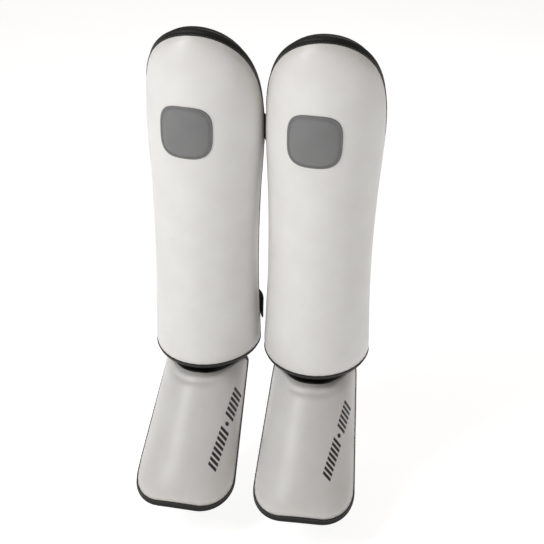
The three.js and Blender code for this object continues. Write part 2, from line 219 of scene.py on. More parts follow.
def shin_wall(spots, level, offset):
    """Points of the shin pad's wall; spots are (angle from the front, height)."""
    angle, z = spots[..., 0], spots[..., 1]
    half_width = station_value(z / SHIN_HEIGHT)
    depth = between(SHIN_DEPTH_ANKLE, SHIN_DEPTH_KNEE, z / SHIN_HEIGHT)
    reach = wrap_angle(z, half_width)
    sine, cosine = np.sin(angle), np.cos(angle)
    outer = stacked(half_width * sine, -depth * cosine, z)
    inner = stacked(
        (half_width - SHIN_SIDE_WALL) * sine,
        -(depth - SHIN_FRONT_WALL) * cosine,
        z,
    )
    crown = rounded_edge((reach - np.abs(angle)) * half_width, SHIN_CROWN_BAND)
    hem = SHIN_HEM_FULLNESS + (1 - SHIN_HEM_FULLNESS) * rounded_edge(z, SHIN_HEM_BAND)
    crown = crown * rounded_edge(SHIN_HEIGHT - z, SHIN_CROWN_BAND) * hem
    return through_wall(inner, outer, crown, level, offset)


def over_foot(x, along, height):
    """A point over the foot: across, down the slope from the ankle, and up from the slope."""
    x, along, height = np.broadcast_arrays(x, along, height)
    return stacked(
        x.astype(float),
        INSTEP_TOP_Y - along * math.cos(INSTEP_SLOPE) - height * math.sin(INSTEP_SLOPE),
        INSTEP_TOP_Z - along * math.sin(INSTEP_SLOPE) + height * math.cos(INSTEP_SLOPE),
    )


def instep_ends(across):
    """Where the instep pad starts and stops along the foot, at a share of its half width."""
    side = np.abs(across)
    ear = corner_cut((1 - side) * INSTEP_HALF_WIDTH_ANKLE, EAR_RADIUS)
    top = ear - EAR_RISE * side ** EAR_SHARPNESS
    toe = INSTEP_LENGTH - corner_cut((1 - side) * INSTEP_HALF_WIDTH_TOE, TOE_RADIUS)
    return top, toe


def instep_wall(spots, level, offset):
    """Points of the instep pad's wall; spots are (share of the half width, distance along)."""
    across, along = spots[..., 0], spots[..., 1]
    top, toe = instep_ends(across)
    t = along / INSTEP_LENGTH
    half_width = between(INSTEP_HALF_WIDTH_ANKLE, INSTEP_HALF_WIDTH_TOE, t)
    arch = between(INSTEP_ARCH_ANKLE, INSTEP_ARCH_TOE, t)
    drop = 1 - np.sqrt(1 - INSTEP_ROUNDNESS * across ** 2)
    drop = drop / (1 - math.sqrt(1 - INSTEP_ROUNDNESS))
    outer = over_foot(across * half_width, along, -arch * drop)
    inner_arch = arch + INSTEP_SIDE_TILT - INSTEP_CENTRE_WALL
    inner = over_foot(
        across * (half_width - INSTEP_SIDE_WALL), along, -INSTEP_CENTRE_WALL - inner_arch * drop
    )
    edge = np.minimum(along - top, toe - along)
    crown = rounded_edge(edge, INSTEP_CROWN_BAND)
    crown = crown * rounded_edge((1 - np.abs(across)) * half_width, INSTEP_CROWN_BAND)
    return through_wall(inner, outer, crown, level, offset)


# ---------------------------------------------------------------- pads laid out in rings
NEAR_RINGS = [0, 0.5, 1.2, 2, 3, 4.2, 5.6, 7.2, 9, 11, 13.5, 16.5, 20]
NOMINAL_RUN = 100
NUDGE = 0.02
RUN_MARGIN = 1.1
COVER_STEP = 4
FOAM_STEP = 8


def loop_lengths(points, closed=True):
    """Distance along a line of points; a closed line gets its first point again at the end."""
    if closed:
        points = np.concatenate([points, points[:1]])
    steps = np.linalg.norm(np.diff(points, axis=0), axis=1)
    return points, np.concatenate([[0], np.cumsum(steps)])


def resample(points, lengths, wanted):
    return np.stack([np.interp(wanted, lengths, column) for column in points.T], -1)


class Pad:
    """A padded shell described by its rim, its middle line and its wall function."""

    def __init__(self, half_outline, core_of, wall, count, relief, arc, channels):
        ring = np.concatenate([half_outline, half_outline[::-1][1:-1] * [-1, 1]])
        spots, _ = loop_lengths(ring)
        _, lengths = loop_lengths(wall(ring, 0.5, 0))
        places = np.linspace(0, lengths[-1], count, endpoint=False)
        self.outline = resample(spots, lengths, places)
        self.core = core_of(self.outline)
        self.wall = wall
        self.count = count
        self.length = lengths[-1]
        self.relief = relief
        self.arc = np.array([arc, 1.0])
        self.channels = channels
        rim = wall(self.outline, 0, 0)
        near = wall(self.outline + (self.core - self.outline) * NUDGE, 0, 0)
        self.run = np.linalg.norm(near - rim, axis=1) / NUDGE * RUN_MARGIN
        self.tangent = unit(np.roll(rim, -1, 0) - np.roll(rim, 1, 0))
        away = rim - near
        self.away = unit(away - self.tangent * np.sum(away * self.tangent, axis=1)[:, None])

    def spots(self, inset):
        """Places at a distance in from the rim, on the middle line at the nominal run."""
        share = np.clip(inset, 0, None) / NOMINAL_RUN
        pull = share * ((1 - share) * NOMINAL_RUN / self.run + share)
        return self.outline + (self.core - self.outline) * pull[:, None]

    def at(self, inset, level, offset):
        """Points round the pad, in from the rim, or past it where the inset is negative."""
        inset = np.broadcast_to(np.asarray(inset, float), (self.count,))
        offset = np.broadcast_to(np.asarray(offset, float), (self.count,))
        point = self.wall(self.spots(inset), level, offset)
        return point + self.away * np.clip(-inset, 0, None)[:, None]


def ring_insets(step):
    far = np.arange(NEAR_RINGS[-1] + step, NOMINAL_RUN - step / 2, step)
    return np.array([*NEAR_RINGS, *far, NOMINAL_RUN], float)


SHIN_CORE = (95, 280)
INSTEP_CORE = (58, 100)


def shin_half_outline():
    corner = SHIN_CORNER_RADIUS * (1 - np.cos(np.linspace(0, math.pi / 2, 16)))
    straight = np.linspace(SHIN_CORNER_RADIUS, DOME_BASE, 60)[1:]
    dome = DOME_BASE + DOME_HEIGHT * np.sin(np.linspace(0, math.pi / 2, 121))[1:]
    z = np.concatenate([corner, straight, dome])
    side = stacked(wrap_angle(z, station_value(z / SHIN_HEIGHT)), z)
    bottom = stacked(np.linspace(0, side[0, 0], 50)[:-1], np.zeros(49))
    side[-1, 0] = 0
    return np.concatenate([bottom, side])


def shin_core(outline):
    z = np.interp(outline[:, 1], [0, SHIN_HEIGHT], SHIN_CORE)
    return stacked(np.zeros_like(z), z)


def instep_half_outline():
    across = np.sin(np.linspace(0, math.pi / 2, 80))
    top, toe = instep_ends(across)
    along = np.linspace(top[-1], toe[-1], 40)[1:-1]
    return np.concatenate([
        stacked(across, top),
        stacked(np.ones_like(along), along),
        stacked(across, toe)[::-1],
    ])


def instep_core(outline):
    along = np.interp(outline[:, 1], [-10, INSTEP_LENGTH], INSTEP_CORE)
    return stacked(np.zeros_like(along), along)


# ---------------------------------------------------------------- making meshes
def placed(points, side):
    """Millimetres in a guard's own frame to metres in the CAD frame."""
    turn = side * TOE_OUT
    x, y, z = points[..., 0], points[..., 1], points[..., 2]
    return stacked(
        x * math.cos(turn) - y * math.sin(turn) + side * PAIR_HALF_SPACING,
        x * math.sin(turn) + y * math.cos(turn),
        z,
    ) * MM


def add_object(name, data):
    obj = bpy.data.objects.new(name, data)
    bpy.context.scene.collection.objects.link(obj)
    return obj


WELD = 2e-6


def new_object(name, points, faces, uv=None, marks=None):
    """A smooth mesh object from points in metres; uv and marks have one entry per point."""
    mesh = bpy.data.meshes.new(name)
    mesh.from_pydata(points.tolist(), [], faces)
    loops = np.zeros(len(mesh.loops), np.int32)
    mesh.loops.foreach_get("vertex_index", loops)
    if uv is not None:
        layer = mesh.uv_layers.new(name="UVMap")
        layer.data.foreach_set("uv", uv[loops].astype(np.float32).ravel())
    for key, values in (marks or {}).items():
        layer = mesh.attributes.new(key, "FLOAT", "POINT")
        layer.data.foreach_set("value", np.asarray(values, np.float32))
    edit = bmesh.new()
    edit.from_mesh(mesh)
    bmesh.ops.remove_doubles(edit, verts=edit.verts, dist=WELD)
    bmesh.ops.dissolve_degenerate(edit, edges=edit.edges, dist=WELD / 2)
    bmesh.ops.recalc_face_normals(edit, faces=edit.faces)
    edit.to_mesh(mesh)
    edit.free()
    mesh.polygons.foreach_set("use_smooth", np.ones(len(mesh.polygons), bool))
    return add_object(name, mesh)


def ring_quads(rows, columns, closed_rows=False, closed_columns=True, base=0):
    """Quads of a grid whose point (r, c) is at index base + r * columns + c."""
    r = np.arange(rows if closed_rows else rows - 1)
    c = np.arange(columns if closed_columns else columns - 1)
    r, c = np.meshgrid(r, c, indexing="ij")
    r2, c2 = (r + 1) % rows, (c + 1) % columns
    quads = stacked(r * columns + c, r * columns + c2, r2 * columns + c2, r2 * columns + c)
    return (quads.reshape(-1, 4) + base).tolist()


def shell(pad, step, outer, inner):
    """A closed shell over a pad: outer gives points for spots and their inset, inner is a level."""
    insets = ring_insets(step)
    rows = np.concatenate([insets[::-1], insets])
    spots = [pad.spots(np.full(pad.count, inset)) for inset in rows]
    sheets = [outer(*row) for row in zip(spots, insets[::-1])]
    points = np.concatenate(sheets + [pad.at(inset, *inner) for inset in insets])
    # The edge mark is highest at the rim; the leather darkens with it, for grime and painted shade
    # beside the binding.
    edge = np.exp(-np.repeat(rows, pad.count) / 7)
    uv = np.concatenate(spots) * pad.arc * MM
    return points, ring_quads(len(rows), pad.count), uv, {"edge": edge}


def swept(sections, closed):
    """A tube from a row of sections with equal numbers of points, with flat ends if open."""
    rows, columns = sections.shape[:2]
    faces = ring_quads(rows, columns, closed_rows=closed)
    if not closed:
        faces.append(list(range(columns)))
        faces.append(list(range((rows - 1) * columns, rows * columns))[::-1])
    return sections.reshape(-1, 3), faces


def strip(rings, along, across):
    """An open tube with its uv from the places along it and across each ring."""
    points, faces = swept(rings, False)
    uv = stacked(*np.broadcast_arrays(along[:, None], across))
    return points, faces, uv.reshape(-1, 2) * MM, {}


STITCH_SHARES = np.array([0, 0.12, 0.35, 0.65, 0.88, 1])
STITCH_RADII = np.array([0.35, 0.85, 1, 1, 0.85, 0.35])
STITCH_SINKS = np.array([1, 0.35, 0, 0, 0.35, 1])
STITCH_SIDES = 6

# Pitch, length and radius of each kind of stitch.
RIM_STITCH = (3.9, 3.1, 0.42)
SEAM_STITCH = (4.2, 3.2, 0.4)
PATCH_STITCH = (3.3, 2.6, 0.36)
BAND_STITCH = (3.0, 2.3, 0.34)


def stitch_row(line, normals, pitch, length, radius, closed=True, sink=0.25):
    """Separate thread stitches laid along a line, each dipping into the cloth at its ends."""
    points, lengths = loop_lengths(line, closed)
    if closed:
        normals = np.concatenate([normals, normals[:1]])
    number = max(1, int(lengths[-1] // pitch))
    spacing = lengths[-1] / number
    starts = np.arange(number) * spacing + (spacing - length) / 2
    where = starts[:, None] + STITCH_SHARES * length
    centre = resample(points, lengths, where.ravel()).reshape(number, len(STITCH_SHARES), 3)
    normal = unit(resample(normals, lengths, where.ravel())).reshape(centre.shape)
    tangent = unit(centre[:, -1:] - centre[:, :1])
    side = unit(np.cross(tangent, normal))
    up = np.cross(side, tangent)
    turn = np.linspace(0, 2 * math.pi, STITCH_SIDES, endpoint=False)[:, None]
    centre = centre - normal * (sink * STITCH_SINKS)[:, None]
    circle = side[:, :, None] * np.cos(turn) + up[:, :, None] * np.sin(turn)
    rings = centre[:, :, None] + circle * (radius * STITCH_RADII)[:, None, None]
    per = len(STITCH_SHARES) * STITCH_SIDES
    one = ring_quads(len(STITCH_SHARES), STITCH_SIDES)
    one += [list(range(STITCH_SIDES)), list(range(per - STITCH_SIDES, per))[::-1]]
    faces = [[i + k * per for i in face] for k in range(number) for face in one]
    uv = np.stack(np.broadcast_arrays(
        (np.arange(number)[:, None, None] * 0.37 + STITCH_SHARES[:, None]) * length * MM,
        turn[:, 0] * radius * MM,
    ), -1)
    return rings.reshape(-1, 3), faces, uv.reshape(-1, 2), {}


def joined(rows):
    """Several shapes as one, without their marks."""
    points, faces, uv, base = [], [], [], 0
    for row_points, row_faces, row_uv, *_ in rows:
        points.append(row_points)
        uv.append(row_uv)
        faces += [[i + base for i in face] for face in row_faces]
        base += len(row_points)
    return np.concatenate(points), faces, np.concatenate(uv), {}


# ---------------------------------------------------------------- cover relief and swelling
def shin_relief(spots):
    """Faint unevenness of the shin's cover, in millimetres out from its smooth shape."""
    across, z = spots[..., 0] * 70, spots[..., 1]
    waves = np.sin(z / 17 + across / 31) + 0.8 * np.sin(z / 29 - across / 23 + 1.3)
    waves = waves + 0.6 * np.sin(z / 11 + across / 13 + 2.1)
    return 0.10 * waves


def instep_relief(spots):
    """The soft roll at the ankle end of the instep's cover, with the crease below it."""
    across, along = spots[..., 0], spots[..., 1]
    top, _ = instep_ends(across)
    below = along - top
    x = across * INSTEP_HALF_WIDTH_ANKLE
    middle = np.exp(-((x / 27) ** 4))
    roll = 1.2 * bump_curve(below, 7.5, 4)
    crease = -1.1 * bump_curve(below, 14.5, 3.6) + 0.3 * bump_curve(below, 22, 5)
    waves = 0.09 * (np.sin(along / 13 + x / 17) + 0.7 * np.sin(along / 8 - x / 21 + 0.8))
    return middle * (roll + crease) + waves


def spot_tree(points):
    tree = KDTree(len(points))
    for i, point in enumerate(points):
        tree.insert(point, i)
    tree.balance()
    return tree


SWELL_NEIGHBOURS = 8


def swelling_of(rest, rise):
    """How far a cover stands out at any points near it, from the rise at the resting points."""
    tree = spot_tree(rest)

    def swelling(points):
        found = np.empty(len(points))
        for i, point in enumerate(points):
            near = tree.find_n(point * MM, SWELL_NEIGHBOURS)
            weights = np.array([1 / (distance + MM) ** 2 for _, _, distance in near])
            found[i] = np.dot(weights, rise[[k for _, k, _ in near]]) / weights.sum()
        return found

    return swelling


SWELL_CAP = 2.6
SWELL_DIP = 0.4
SWELL_VOXEL = 0.0055
SWELL_FRAMES = 20
SWELL_EDGE = 8
CLOTH_SETTINGS = {
    "quality": 6, "mass": 0.25, "tension_stiffness": 12, "compression_stiffness": 12,
    "shear_stiffness": 6, "bending_stiffness": 0.2, "use_pressure": True,
    "uniform_pressure_force": 300, "vertex_group_mass": "held",
}


def simulate_swelling(name, pad):
    """Blows the pad up with cloth held at its rim and leg side, and keeps the cover's rise."""
    insets = ring_insets(FOAM_STEP)
    outer = [pad.at(inset, 1, 0) for inset in insets[::-1]]
    inner = [pad.at(inset, 0, 0) for inset in insets]
    points = np.concatenate(outer + inner)
    body = new_object(name, points * MM, ring_quads(2 * len(insets), pad.count))
    remesh = body.modifiers.new("even", "REMESH")
    remesh.mode = "VOXEL"
    remesh.voxel_size = SWELL_VOXEL
    bpy.context.view_layer.update()
    graph = bpy.context.evaluated_depsgraph_get()
    even = bpy.data.meshes.new_from_object(body.evaluated_get(graph))
    body.modifiers.clear()
    body.data = even
    rest = np.array([v.co for v in even.vertices])
    free = np.concatenate([pad.at(i, 1, 0) for i in insets if i > SWELL_EDGE])
    held = np.concatenate([pad.at(i, 1, 0) for i in insets if i <= SWELL_EDGE] + inner)
    sides = spot_tree(np.concatenate([free, held]) * MM)
    loose = np.array([sides.find(point)[1] for point in rest]) < len(free)
    group = body.vertex_groups.new(name="held")
    group.add(np.nonzero(~loose)[0].tolist(), 1.0, "REPLACE")
    cloth = body.modifiers.new("cloth", "CLOTH")
    for key, value in CLOTH_SETTINGS.items():
        setattr(cloth.settings, key, value)
    cloth.settings.effector_weights.gravity = 0
    cloth.collision_settings.use_collision = False
    cloth.point_cache.frame_start = 1
    cloth.point_cache.frame_end = SWELL_FRAMES
    for step in range(1, SWELL_FRAMES + 1):
        bpy.context.scene.frame_set(step)
    graph = bpy.context.evaluated_depsgraph_get()
    final = np.array([v.co for v in body.evaluated_get(graph).data.vertices])
    bpy.context.scene.frame_set(1)
    normals = np.array([v.normal for v in even.vertices])
    rise = np.sum((final - rest) * normals, axis=1) / MM
    bpy.data.objects.remove(body)
    return swelling_of(rest, np.where(loose, np.clip(rise, -SWELL_DIP, SWELL_CAP), 0))


FAR_IN = 99


def skin(pad, spots, lift, inset=FAR_IN):
    """Points a lift above a pad's finished cover, which is smooth where the inset is small."""
    flat = pad.wall(spots, 1, 0)
    fade = smoothstep(inset, 5, 20)
    height = (pad.relief(spots) + pad.swelling(flat)) * fade
    return pad.wall(spots, 1, height + lift)


def pucker(pad, inset):
    """Small gathers beside the binding, where its stitches pull the cover in."""
    s = np.arange(pad.count) / pad.count * pad.length
    phase = 2 * math.pi * s / pad.length
    wobble = 1.6 * np.sin(3 * phase) + 1.1 * np.sin(7 * phase + 1) + 0.9 * np.sin(12 * phase + 2)
    gathers = round(pad.length / 9.5)
    pull = 0.5 + 0.5 * np.sin(gathers * phase + wobble)
    strength = 0.45 + 0.3 * np.sin(5 * phase + 0.7) + 0.25 * np.sin(11 * phase + 2.2)
    near = bump_curve(inset, 4.5, 3.2)
    return -(0.45 + 0.5 * pull * np.clip(strength, 0, 1)) * near


# ---------------------------------------------------------------- materials
NOISE_RANGE = (0.3, 0.7)


class Shader:
    """A short way to build a node material around one Principled surface."""

    def __init__(self, name):
        self.material = bpy.data.materials.new(name)
        self.material.use_nodes = True
        self.tree = self.material.node_tree
        self.surface = self.tree.nodes["Principled BSDF"]
        self.uv = self.node("UVMap", uv_map="UVMap", get="UV")

    def node(self, kind, inputs=None, get=0, **settings):
        node = self.tree.nodes.new("ShaderNode" + kind)
        for key, value in settings.items():
            setattr(node, key, value)
        for key, value in (inputs or {}).items():
            self.feed(node.inputs[key], value)
        return node.outputs[get]

    def feed(self, socket, value):
        if isinstance(value, bpy.types.NodeSocket):
            self.tree.links.new(value, socket)
        else:
            socket.default_value = value

    def math(self, operation, a, b=0.0, clamp=False):
        return self.node("Math", {0: a, 1: b}, operation=operation, use_clamp=clamp)

    def times(self, a, b):
        return self.math("MULTIPLY", a, b)

    def total(self, *terms, clamp=False):
        """The weighted sum of some (value, weight) terms."""
        result, *rest = [self.times(*term) for term in terms]
        for term in rest:
            result = self.math("ADD", result, term, clamp and term is rest[-1])
        return result

    def remap(self, value, low, high, to_low=0.0, to_high=1.0):
        return self.node("MapRange", {
            "Value": value, "From Min": low, "From Max": high, "To Min": to_low, "To Max": to_high,
        })

    def spread(self, noise, to_low=0.0, to_high=1.0):
        """The range most of a noise falls in, stretched over another."""
        return self.remap(noise, *NOISE_RANGE, to_low, to_high)

    def axes(self):
        return (self.node("SeparateXYZ", {0: self.uv}, get=axis) for axis in (0, 1))

    def ripple(self, place, pitch):
        return self.math("SINE", self.times(place, 2 * math.pi / pitch))

    def noise(self, per_metre, detail=3.0, roughness=0.5, stretch=None):
        vector = self.uv
        if stretch:
            vector = self.node("VectorMath", {0: self.uv, 1: stretch}, operation="MULTIPLY")
        return self.node("TexNoise", {
            "Vector": vector, "Scale": per_metre, "Detail": detail, "Roughness": roughness,
        })

    def cells(self, per_metre, feature="F1", randomness=1.0):
        settings = {"Vector": self.uv, "Scale": per_metre, "Randomness": randomness}
        return self.node("TexVoronoi", settings, get="Distance", feature=feature)

    def wave(self, per_metre, direction="X", distortion=0.0, profile="SIN"):
        """Bands repeating a number of times per metre."""
        return self.node("TexWave", {
            "Vector": self.uv, "Scale": per_metre * math.pi / 10, "Distortion": distortion,
        }, get=1, bands_direction=direction, wave_profile=profile)

    def mark(self, name):
        return self.node("Attribute", get="Fac", attribute_name=name)

    def mix(self, share, a, b):
        return self.node("Mix", {0: share, 6: a, 7: b}, get=2, data_type="RGBA")

    def finish(self, color, roughness, height=None, depth=0.0001, strength=1.0, **fixed):
        """Sets the colour, roughness and bump; fixed values go on the surface's own sockets."""
        self.feed(self.surface.inputs["Base Color"], color)
        self.feed(self.surface.inputs["Roughness"], roughness)
        if height is not None:
            bump = self.node("Bump", {"Height": height, "Distance": depth, "Strength": strength},
                             get="Normal")
            self.feed(self.surface.inputs["Normal"], bump)
        for key, value in fixed.items():
            self.surface.inputs[key.replace("_", " ")].default_value = value
        return self.material


def rgb(red, green, blue):
    return (red, green, blue, 1.0)


def grey(level):
    return rgb(level, level, level)


def leather_material(name, clean, worn_and_shaded, gloss, grain_depth):
    """Smooth synthetic leather: pebble grain, pores, drifting sheen, and grime by the seams with
    painted shade darkening it towards the rim.
    """
    s = Shader(name)
    pebbles = s.cells(880, "SMOOTH_F1")
    drift = s.noise(26, 3.0)
    scuffs = s.remap(s.noise(420, 5.0, 0.65, (1.0, 0.18, 1.0)), 0.58, 0.72)
    height = s.total((pebbles, 0.8), (s.noise(3200, 2.0), 0.25))
    # Darker towards the rim along the edge mark: partly grime by the seams, partly painted shade
    # where the cover meets the binding.
    grime_and_edge_shade = s.times(s.mark("edge"), s.remap(s.noise(95, 4.0, 0.6), 0.3, 0.75, 0.35, 1.0))
    cloudy = s.remap(drift, 0.35, 0.7, 0.0, 0.16)
    color = s.mix(s.total((grime_and_edge_shade, 0.75), (cloudy, 1), (scuffs, 0.07), clamp=True), clean, worn_and_shaded)
    sheen = s.spread(drift, gloss - 0.05, gloss + 0.06)
    roughness = s.total((sheen, 1), (scuffs, 0.12), (pebbles, 0.06))
    return s.finish(color, roughness, height, grain_depth, 0.55,
                    Specular_IOR_Level=0.5, Coat_Weight=0.12, Coat_Roughness=0.3)


def tape_material(name):
    """Black binding tape: fine cross ribs, polished and greyed on the crests."""
    s = Shader(name)
    grain = s.noise(2600, 3.0)
    height = s.total((s.wave(1150, "X", 0.4), 0.5), (grain, 0.5))
    rub = s.times(s.mark("crest"), s.remap(s.noise(300, 4.0, 0.6), 0.35, 0.7))
    share = s.total((rub, 0.55), (s.remap(grain, 0.3, 0.8, 0.0, 0.25), 1), clamp=True)
    color = s.mix(share, grey(0.008), rgb(0.032, 0.032, 0.030))
    roughness = s.spread(grain, 0.45, 0.6)
    return s.finish(color, roughness, height, 0.00018, 0.7, Specular_IOR_Level=0.3)


def knit_material(name, dark, light, pitch=1.1):
    """Knitted lining: rows of small offset loops with a soft nap."""
    s = Shader(name)
    loops = s.times(s.wave(1000 / pitch, "X", 0.5), s.wave(1000 / pitch * 0.8, "Y", 0.5))
    nap = s.noise(3500, 3.0)
    height = s.total((loops, 0.8), (nap, 0.3))
    drift = s.spread(s.noise(40, 4.0, 0.6), 0.0, 0.4)
    color = s.mix(s.total((loops, 0.6), (drift, 1), clamp=True), dark, light)
    return s.finish(color, s.spread(nap, 0.78, 0.95), height, 0.00035, 0.8,
                    Sheen_Weight=0.25, Sheen_Roughness=0.5, Specular_IOR_Level=0.25)


def webbing_material(name):
    """Woven webbing: chevron ribs along the strap, crossed by fine picks."""
    s = Shader(name)
    along, across = s.axes()
    slant = s.total((along, 1), (s.math("PINGPONG", across, 0.0025), 0.9))
    twill, warp = s.ripple(slant, 0.0013), s.ripple(across, 0.00125)
    fuzz = s.noise(3000, 3.0)
    height = s.total((twill, 0.35), (warp, 0.2), (fuzz, 0.25))
    share = s.total((s.remap(twill, -1, 1, 0.1, 0.6), 1), (s.spread(fuzz, -0.1, 0.3), 1),
                    clamp=True)
    color = s.mix(share, rgb(0.006, 0.006, 0.007), rgb(0.032, 0.032, 0.034))
    roughness = s.spread(fuzz, 0.6, 0.8)
    return s.finish(color, roughness, height, 0.00035, 0.8, Sheen_Weight=0.2, Sheen_Roughness=0.4)


def elastic_material(name):
    """Elastic: cords running the length, crossed by tight gathers."""
    s = Shader(name)
    cords = s.wave(620, "Y", 0.15)
    fuzz = s.noise(2800, 3.0)
    height = s.total((cords, 0.6), (s.wave(1500, "X", 1.2), 0.3), (fuzz, 0.2))
    share = s.total((cords, 0.55), (s.spread(fuzz, 0.0, 0.25), 1), clamp=True)
    color = s.mix(share, rgb(0.007, 0.007, 0.008), rgb(0.035, 0.035, 0.037))
    roughness = s.spread(fuzz, 0.68, 0.88)
    return s.finish(color, roughness, height, 0.0005, 0.8, Sheen_Weight=0.15, Sheen_Roughness=0.4)


def foam_material(name, dark, light, cells):
    """Closed-cell foam: small round cells with skin between them."""
    s = Shader(name)
    pits = s.cells(cells)
    cloud = s.noise(60, 4.0)
    color = s.mix(s.remap(s.math("ADD", pits, cloud), 0.4, 1.3), dark, light)
    return s.finish(color, s.spread(cloud, 0.85, 0.97), pits, 0.0004, 0.8)


def thread_material(name, dark, light):
    """Twisted sewing thread."""
    s = Shader(name)
    twist = s.ripple(s.math("ADD", *s.axes()), 0.0007)
    fibre = s.noise(6000, 2.0)
    color = s.mix(s.remap(s.math("ADD", twist, fibre), -0.6, 1.6), dark, light)
    return s.finish(color, s.spread(fibre, 0.45, 0.65), twist, 0.00008, 0.8,
                    Sheen_Weight=0.2)


def ink_material(name):
    """Black printed film, slightly cracked by flexing."""
    s = Shader(name)
    cracks = s.remap(s.cells(620, "DISTANCE_TO_EDGE"), 0.0, 0.05)
    blotch = s.noise(900, 4.0, 0.6)
    share = s.math("MULTIPLY", cracks, s.remap(blotch, 0.3, 0.6, 0.6, 1.0), clamp=True)
    color = s.mix(share, rgb(0.075, 0.073, 0.07), grey(0.018))
    return s.finish(color, s.spread(blotch, 0.35, 0.5), cracks, 0.00004, 0.5)


def floor_material():
    s = Shader("pale_floor")
    cloud = s.noise(2.5, 4.0)
    color = s.mix(s.spread(cloud), grey(0.66), grey(0.70))
    return s.finish(color, 0.9, Emission_Color=(1, 1, 1, 1), Emission_Strength=0.82,
                    Specular_IOR_Level=0.1)


COVER = leather_material("white_cover", rgb(0.775, 0.770, 0.757), rgb(0.53, 0.50, 0.45),
                         0.38, 0.00009)
PATCH = leather_material("grey_patch", rgb(0.195, 0.195, 0.197), grey(0.10), 0.52, 0.00012)
TAPE = tape_material("black_binding")
LINING = knit_material("black_lining", rgb(0.016, 0.016, 0.017), rgb(0.060, 0.060, 0.063))
WEBBING = webbing_material("black_webbing")
ELASTIC = elastic_material("black_elastic")
HOOK = knit_material("hook_tape", grey(0.008), grey(0.036), 1.6)
HARD_FOAM = foam_material("hard_foam", rgb(0.10, 0.105, 0.11), rgb(0.21, 0.215, 0.22), 500)
SOFT_FOAM = foam_material("soft_foam", rgb(0.28, 0.29, 0.30), rgb(0.42, 0.43, 0.44), 700)
BLACK_THREAD = thread_material("black_thread", grey(0.012), grey(0.06))
GREY_THREAD = thread_material("grey_thread", grey(0.10), rgb(0.30, 0.30, 0.29))
INK = ink_material("black_print")


# ---------------------------------------------------------------- the two pads
SHIN = Pad(shin_half_outline(), shin_core, shin_wall, 480, shin_relief, 70, 0.62)
UP = np.array([0, 0, 1.0])
INSTEP = Pad(instep_half_outline(), instep_core, instep_wall, 384, instep_relief, 80, 0.5)
UP_SLOPE = np.array([0, math.cos(INSTEP_SLOPE), math.sin(INSTEP_SLOPE)])
for pad, lengthwise, name in ((SHIN, UP, "shin_swelling"), (INSTEP, UP_SLOPE, "instep_swelling")):
    pad.lip = 0.35 + 0.65 * np.abs(pad.away @ lengthwise)
    pad.swelling = simulate_swelling(name, pad)


def wall_normal(pad, inset, level):
    """Outward normals of one face of a pad's wall, at a distance in from the rim."""
    step = 0.3
    inward = pad.at(inset + step, level, 0) - pad.at(inset - step, level, 0)
    normal = unit(np.cross(pad.tangent, inward))
    through = pad.at(inset, 1, 0) - pad.at(inset, 0, 0)
    facing = np.sign(np.sum(normal * through, axis=1))[:, None]
    return normal * facing * (1 if level > 0.5 else -1)


def cover_shape(pad):
    def puckered(spots, inset):
        return skin(pad, spots, pucker(pad, inset), inset)
    return shell(pad, COVER_STEP, puckered, (1, -COVER_THICKNESS))


def quilting(pad, spots, inset):
    """Height of the lining's channels, which run along the pad between stitched seams."""
    place = spots[:, 0] / pad.channels + 0.5
    within = np.abs(2 * (place - np.floor(place)) - 1)
    full = 1.5 * (1 - within ** 5) * smoothstep(inset, 5.5, 16)
    wrinkles = 0.10 * np.sin(spots[:, 1] / 2.6 + 3 * np.sin(spots[:, 1] / 19)) * within ** 2
    return full + wrinkles * smoothstep(inset, 6, 12)


def lining_shape(pad):
    def quilted(spots, inset):
        return pad.wall(spots, 0, -quilting(pad, spots, inset))
    return shell(pad, COVER_STEP, quilted, (0, LINING_THICKNESS))


def foam_shape(pad, low, high):
    return shell(pad, FOAM_STEP, lambda spots, inset: pad.wall(spots, *high), low)


LIP = [
    (3.1, 1, -0.6), (3.05, 1, 0.1), (2.7, 1, 0.42), (2.0, 1, 0.62), (1.2, 1, 0.78),
    (0.4, 1, 0.8), (-0.4, 1, 0.6), (-1.3, 1, 0.25), (-2.2, 1, -0.2),
]
ROLL_LEVELS = [0.94, 0.89, 0.82, 0.74, 0.66, 0.59, 0.545, 0.52, 0.5]
LEG_LIP = [
    (-2.2, 0, 0.2), (-1.3, 0, -0.25), (-0.4, 0, -0.6), (0.6, 0, -0.85), (2.0, 0, -0.95),
    (3.6, 0, -0.95), (4.6, 0, -0.8), (5.0, 0, -0.4), (5.0, 0, -0.05),
]
UNDERSIDE = [
    (0.4, 0, -0.05), (-0.5, 0, 0.5), (-0.62, 0.3, 0), (-0.62, 0.7, 0), (-0.5, 1, -0.5),
    (0.4, 1, 0.05), (1.2, 1, -0.2), (2.3, 1, -0.65),
]
GROOVE = 2.35
ROLL = 1.3


def roll_out(level):
    return -(GROOVE + ROLL * abs(math.sin(2 * math.pi * level)) ** 0.7)


